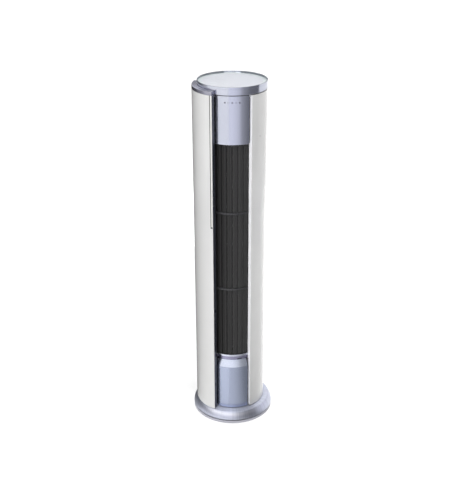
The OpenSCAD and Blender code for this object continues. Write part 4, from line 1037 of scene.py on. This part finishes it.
def doorLines(groove):
    # the door's outer and inner lines in plan, with the strip's place let in by the groove
    r0, r1, a0, a1 = reach("door_shell", "r0 r1 a0 a1")
    wallR, fold = r1 - door["wall"], door["fold"] / r0
    corner, lead, steps = door["corner"], door["leadCorner"], door["cornerSteps"]
    first, last = a0 + fold, a1 - fold
    strip0, strip1 = stripTurns()
    skin, strip = fan(a0 + corner / r1, strip0), fan(strip0, strip1, trim["grooveTurn"])
    outer = [polar(r0, a0), polar(r1 - corner, a0)] + skinCorner(r1, a0, corner, 1, steps)
    outer += arc(r1, skin) + arc(r1 - groove, strip) + [polar(r1, strip1)]
    outer += skinCorner(r1, a1, lead, -1, steps)[::-1] + [polar(r1 - lead, a1), polar(r0, a1)]
    # the inner line has as many points, so those opposite a corner lie close together
    near = door["innerStep"]
    turns = [first] + [first + near * k for k in range(steps - 1)]
    turns += [max(a0 + fold * door["innerFrom"], a) for a in skin]
    turns += [min(a, last - 2 * near) for a in strip] + [last - near]
    turns += [last - door["leadStep"] * k for k in range(steps - 1, -1, -1)]
    return outer, [polar(r0, first), *arc(wallR, turns), polar(r0, last)]


def onDoor(name, section, a0, a1, finish, step=curveStep, **details):
    piece(name, revolved(section, a0, a1, step), finish, body="door", **details)


def makeDoor():
    r0, r1, a1, z0, z1 = reach("door_shell", "r0 r1 a1 z0 z1")
    plain, cut = doorLines(0.0), doorLines(trim["groove"])
    low, = reach("door_edge_trim", "z0")
    rows = [(*plain, z0), (*plain, low), (*cut, low + trim["grooveStep"]), (*cut, z1)]
    piece("doorSkin", ribbon(rows), "white_gloss", ["door_shell"], door["edge"], "door")
    makeDoorTrim(r1)
    lip, lead = door["lip"], 2 * door["leadCorner"]
    onDoor("doorLip", rectangle(r0 + lip, r1 - lead, z0 + lip, z1 - lip), a1 - lip / r0 / 2, a1 + lip / r0,
           "navy_trim")


def makeDoorTrim(r1):
    out, z0, z1 = reach("door_edge_trim", "r1 z0 z1")
    strip0, strip1 = stripTurns()
    floor = r1 - trim["groove"]
    line, end = strip0 + trim["darkLine"] / r1, strip1 - trim["stripGap"]
    onDoor("doorTrim", rectangle(floor + trim["stripUp"], out, z0 + trim["stripLow"], z1), line, end,
           "cream_trim", trim["stripTurn"], replaces=["door_edge_trim"], edge=trim["edge"])
    above, under = trim["shadow"]
    before, after = trim["shadowGap"]
    onDoor("doorTrimShadow", rectangle(floor + above, r1 - under, z0 + trim["shadowLow"], z1),
           strip0 + before, line - after, "black_plastic", trim["shadowTurn"])
    under, above = trim["footFace"]
    onDoor("doorTrimFoot", rectangle(r1 - under, r1 + above, z0 - trim["foot"], z0), strip0 + before, end,
           "black_plastic", trim["stripTurn"])


def makeDoorCap():
    r0, r1, a0, a1, z0, z1 = reach("door_top_cap", "r0 r1 a0 a1 z0 z1")
    c, floor = doorCap["round"], z1 - doorCap["grooveDeep"]
    g0, g1, g2, g3 = doorCap["groove"]
    section = [(r0, z0), (r1, z0), (r1, z1 - c)] + roundCorner(r1 - c, z1 - c, c, 0, deg(90), steps=6)[1:]
    section += [(r0 + g3, z1), (r0 + g2, floor), (r0 + g1, floor), (r0 + g0, z1), (r0, z1)]
    onDoor("doorCap", section, a0, a1, "door_cap_metal", replaces=["door_top_cap"], edge=doorCap["edge"])


makeDoor()
makeDoorCap()
print("door made")


# Rear: skin, grille, pipe grommet, cable gland and screws

rear = {
    "turns": (deg(110.2), deg(249.8)),   # it spans the back, so its angles go on past half a turn
    "pipe": (pi, 0.18),                  # angle and height
    "pipeHole": 0.0378,
    "cable": (deg(152), 0.13),
    "cableHole": 0.0083,
    "cut": (-0.02, 0.02),                # how deep the holes are cut, from the skin's face
    "edge": (0.0008, 2),
}
grille = {"columns": 24, "rows": 6, "openShare": 0.58, "bridge": 0.012, "edgeTurn": deg(4.8),
          "edgeHeight": 0.022, "edge": (0.0005, 2)}
grommet = {"bore": 0.032, "neck": 0.0375, "flange": 0.0435, "deep": 0.010, "gap": 0.0003, "thick": 0.003,
           "lip": 0.001, "edge": (0.0004, 2)}
gland = {
    "profile": [(0.004, -0.010), (0.008, -0.010), (0.008, 0.0003), (0.011, 0.0003), (0.011, 0.0042),
                (0.0095, 0.0046), (0.0095, 0.0068), (0.0078, 0.008), (0.004, 0.008)],
    "grips": 18,
    "grip": [(0.0106, -0.0007), (0.0118, -0.0004), (0.0118, 0.0004), (0.0106, 0.0007)],
    "gripHeights": (0.0006, 0.004),
    "edge": (0.0002, 2),
}
screw = {"headR": 0.0045, "headH": 0.002, "rim": 0.0006, "dome": (deg(20), deg(40), deg(55), deg(68)),
         "shankR": 0.002, "shank": 0.008, "socketR": 0.0016, "socket": 0.0012, "turn": deg(113.1),
         "heights": (0.097, 0.312, 1.560, 1.727)}
rearR, = reach("rear_upper_panel", "r1")


def onRear(shape, place, turn=0.0):
    a, z = place
    return placed(shape, outwards(a, rearR, z) @ Matrix.Rotation(turn, 4, "Z"))


def makeRearSkin():
    holes = [onRear(drill(rear["pipeHole"], *rear["cut"], sides=64), rear["pipe"]),
             onRear(drill(rear["cableHole"], *rear["cut"]), rear["cable"])]
    for name, node, cuts in (("rearLowerPanel", "rear_lower_panel", holes),
                             ("rearUpperPanel", "rear_upper_panel", [])):
        section = rectangle(rearR - panel["wall"], rearR, *reach(node, "z0 z1"))
        piece(name, revolved(section, *rear["turns"]), "white_gloss", [node], rear["edge"], cuts=cuts)


def makeGrille():
    z0, z1 = reach("intake_grille", "z0 z1")
    a0, a1 = rear["turns"]
    columns, rows, bridge = grille["columns"], grille["rows"], grille["bridge"]
    edgeA, edgeH = grille["edgeTurn"], grille["edgeHeight"]
    stepA = (a1 - a0 - 2 * edgeA) / columns
    stepZ = (z1 - z0 - 2 * edgeH + bridge) / rows
    half = grille["openShare"] * stepA / 2
    turns = [a0, a0 + edgeA / 2]
    for k in range(columns):
        middle = a0 + edgeA + (k + 0.5) * stepA
        turns += [middle - half, middle + half]
    turns += [a1 - edgeA / 2, a1]
    heights = [z0]
    for k in range(rows):
        low = z0 + edgeH + k * stepZ
        heights += [low, low + stepZ - bridge]
    heights.append(z1)

    def isSlot(i, j):
        return 2 <= i < len(turns) - 3 and i % 2 == 0 and j % 2 == 1
    skin = pierced(rearR - panel["wall"], rearR, turns, heights, isSlot)
    piece("intakeGrille", skin, "white_gloss", ["intake_grille"], grille["edge"], "grille")


def makeGrommet():
    bore, neck, flange, deep = grommet["bore"], grommet["neck"], grommet["flange"], grommet["deep"]
    gap, lip = grommet["gap"], grommet["lip"]
    top = gap + grommet["thick"]
    profile = [(bore, -deep), (neck, -deep), (neck, gap), (flange, gap), (flange, top - lip),
               (flange - lip, top), (bore + 3 * lip, top), (bore + 2 * lip, top - lip), (bore + lip, top),
               (bore, top - lip)]
    ring = onRear(lathe(profile, sides=72), rear["pipe"])
    piece("pipeGrommet", ring, "rubber", ["pipe_grommet"], grommet["edge"])


def makeGland():
    core, grip, count = lathe(gland["profile"]), raised(gland["grip"], *gland["gripHeights"]), gland["grips"]
    grips = [onRear(grip, rear["cable"], fullTurn * k / count) for k in range(count)]
    whole = together(onRear(core, rear["cable"]), *grips)
    piece("cableGland", whole, "black_plastic", ["cable_gland"], gland["edge"])


def makeScrews():
    headR, headH, rim, shank, shankR = (screw[name] for name in ("headR", "headH", "rim", "shank", "shankR"))
    floor = headH - screw["socket"]
    profile = [(rodCore, -shank), (shankR, -shank), (shankR, 0.0), (headR, 0.0), (headR, rim)]
    for up in screw["dome"]:
        profile.append((headR * cos(up) + rodCore, rim + (headH - rim) * sin(up)))
    profile += [(screw["socketR"], headH), (screw["socketR"], floor), (rodCore, floor)]
    places = [(side * screw["turn"], z) for side in (-1, 1) for z in screw["heights"]]
    screws = [onRear(lathe(profile, sides=24), place) for place in places]
    piece("panelScrews", together(*screws), "steel_sheet", ["panel_screws"])


makeRearSkin()
makeGrille()
makeGrommet()
makeGland()
makeScrews()
print("rear made")


# What stays as the CAD gives it: the works inside, with their finishes

inside = {
    "steel_sheet": ["pedestal", "lower_deck", "rear_columns", "mid_deck", "motor_deck", "upper_deck",
                    "fan_motor", "coil_plates", "control_box", "door_motor"],
    "black_plastic": ["cap_post", "cap_floor", "fan_bearing", "rear_guide", "air_tongue", "drip_pan",
                      "filter_frame", "terminal_block"],
    "light_grey_plastic": ["vane_link", "vane_motor", "fan_rotor", "door_pinion"],
    "aluminium": ["coil_fins", "top_carrier", "bottom_carrier"],
    "copper": ["return_bends", "refrigerant_pipes"],
    "brass": ["flare_nuts"],
    "board": ["display_board"],
    "mesh": ["filter_mesh"],
}
insideSharp = deg(30)


def finishInside():
    for finish, nodes in inside.items():
        for name in nodes:
            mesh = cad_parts[name].data
            mesh.materials.clear()
            mesh.materials.append(finishes[finish])
            smoothFaces(mesh, insideSharp)


finishInside()
print("works inside finished")


# Studio

studio = {
    "floor": {"colour": (0.90, 0.90, 0.90), "roughness": 0.7, "grainScale": 60, "wear": 0.004},
    "radius": 60.0,          # of the floor and of the bright dome over it
    "sides": 96,
    "domeStep": deg(7.5),
    "domeSunk": 0.02,
    "sky": 0.13,
    "sun": 3.5,
    "sunSoft": deg(60),
    "aim": (0.0, 0.0, 1.1),
}
# power, place and size
lamps = {
    "key": (66.0, (-1.55, -3.25, 2.5), (1.1, 2.6)),
    "side": (34.0, (2.46, 1.72, 2.3), (1.2, 2.6)),
    "rearFill": (40.0, (0.5, 3.4, 1.1), (1.2, 1.5)),
}
# Cards stand in place of softboxes and flags. Each is a line of two (radius, height) points that is turned
# about the column's axis, and its stops are its (azimuth, strength), from the front towards the right.
cards = {
    "darkFloor": {
        "line": ((0.24, 0.002), (3.0, 0.002)),
        "stops": ((-12, 1.15), (-4, 1.13), (6, 1.03), (14, 0.91), (22, 0.77), (30, 0.61), (38, 0.46),
                  (46, 0.40), (56, 0.42), (66, 1.0), (92, 1.4)),
        "matt": True,        # pieces that don't mirror are lit by it too
    },
    "darkWall": {
        "line": ((1.5, 0.9), (1.5, 2.5)),
        "stops": ((-12, 1.13), (-2, 1.17), (10, 1.04), (21, 0.90), (26, 0.72), (31, 0.52), (40, 0.39),
                  (50, 0.29), (60, 0.21), (92, 0.20)),
        "tint": (0.975, 0.975, 1.05),
    },
    "backFloor": {
        "line": ((0.22, 0.002), (2.4, 0.002)),
        "stops": ((-172, 0.06), (-118, 0.08), (-84, 0.65), (-66, 1.35)),
        "matt": True,
    },
    "backWall": {
        "line": ((2.4, 0.0), (2.4, 1.7)),
        "stops": ((-172, 0.06), (-118, 0.08), (-84, 0.8)),
        "matt": True,
    },
    "rearWall": {
        "corners": [(-0.9, 3.0, 2.2), (0.9, 3.0, 2.2), (0.9, 3.0, 3.1), (-0.9, 3.0, 3.1)],
        "stops": ((0, 0.5),),
        "tint": (0.96, 0.97, 1.06),
    },
    "frontGlow": {
        "line": ((5.0, 0.9), (5.0, 4.0)),
        "stops": ((-75, 2.2), (0, 2.2), (18, 1.6), (34, 0.78), (64, 0.5)),
        "tint": (1.06, 1.02, 0.93),
    },
    "baseWall": {
        "line": ((2.3, 0.0), (2.3, 0.5)),
        "stops": ((-178, 0.1), (-150, 0.04), (-116, 0.06), (-88, 0.28), (-60, 0.52), (-30, 0.84), (-2, 0.96),
                  (14, 0.76), (24, 0.42), (36, 0.20), (54, 0.20), (70, 0.55), (90, 1.05), (110, 1.2)),
        "tint": (0.97, 0.96, 1.07),
    },
}
camera = {"place": (0.0, -4.182, 2.816), "tilt": deg(65.753), "turn": deg(-0.142), "lens": 65.58,
          "sensor": 36}


def addLamp(name, power, place, size):
    lamp = bpy.data.lights.new(name, "AREA")
    lamp.shape = "RECTANGLE"
    lamp.size, lamp.size_y = size
    lamp.energy = power
    aimed = (Vector(studio["aim"]) - Vector(place)).to_track_quat("-Z", "Y").to_euler()
    inScene(name, lamp, place, aimed).visible_glossy = False


def addCard(name, shape, stops, matt=False, tint=(1, 1, 1), seenByCamera=False):
    material = bpy.data.materials.new(name)
    material.use_nodes = True
    material.node_tree.nodes.clear()
    strength = fadeRound(material, stops) if len(stops) > 1 else stops[0][1]
    glow = addNode(material, "Emission", {"Color": (*tint, 1), "Strength": strength})
    addNode(material, "OutputMaterial", {"Surface": glow.outputs["Emission"]})
    card = objectOf(name, shape)
    card.data.materials.append(material)
    card.visible_camera = seenByCamera
    card.visible_diffuse = matt
    card.visible_shadow = False
    card.visible_volume_scatter = False


def turnedLine(line, a0, a1, step=deg(6)):
    # a sheet: a line of (radius, height) points turned about the column's axis
    turns = fan(a0, a1, step)
    n = len(turns)
    faces = [(k, k + 1, n + k + 1, n + k) for j in range(len(line) - 1) for k in range(j * n, j * n + n - 1)]
    return [(*polar(r, a), z) for r, z in line for a in turns], faces


def makeFloorAndSky():
    bpy.ops.mesh.primitive_circle_add(vertices=studio["sides"], radius=studio["radius"], fill_type="NGON")
    ground = bpy.context.object
    ground.name = "floor"
    ground.data.materials.append(mouldedPlastic(**studio["floor"]))
    world = bpy.data.worlds.new("studio")
    world.use_nodes = True
    sky = world.node_tree.nodes["Background"].inputs
    sky["Color"].default_value = (1, 1, 1, 1)
    sky["Strength"].default_value = studio["sky"]
    scene.world = world


def makeLight():
    sun = bpy.data.lights.new("top", "SUN")
    sun.energy = studio["sun"]
    sun.angle = studio["sunSoft"]
    inScene("top", sun)
    for name, values in lamps.items():
        addLamp(name, *values)
    r, sunk, step = studio["radius"], studio["domeSunk"], studio["domeStep"]
    dome = [(r * cos(up), r * sin(up) - sunk) for up in fan(0, deg(90), step)[:-1]] + [(0, r)]
    addCard("brightDome", turnedLine(dome, 0, fullTurn, step), ((0, 1.0),), seenByCamera=True)
    for name, card in cards.items():
        stops = card["stops"]
        if "line" in card:
            shape = turnedLine(card["line"], deg(stops[0][0]), deg(stops[-1][0]))
        else:
            shape = (card["corners"], [(0, 1, 2, 3)])
        addCard(name, shape, stops, card.get("matt", False), card.get("tint", (1, 1, 1)))


def makeCamera():
    lens = bpy.data.cameras.new("camera")
    lens.lens = camera["lens"]
    lens.sensor_width = camera["sensor"]
    scene.camera = inScene("camera", lens, camera["place"], (camera["tilt"], 0, camera["turn"]))
    scene.view_settings.view_transform = "Standard"


makeFloorAndSky()
makeLight()
makeCamera()
print("studio made")
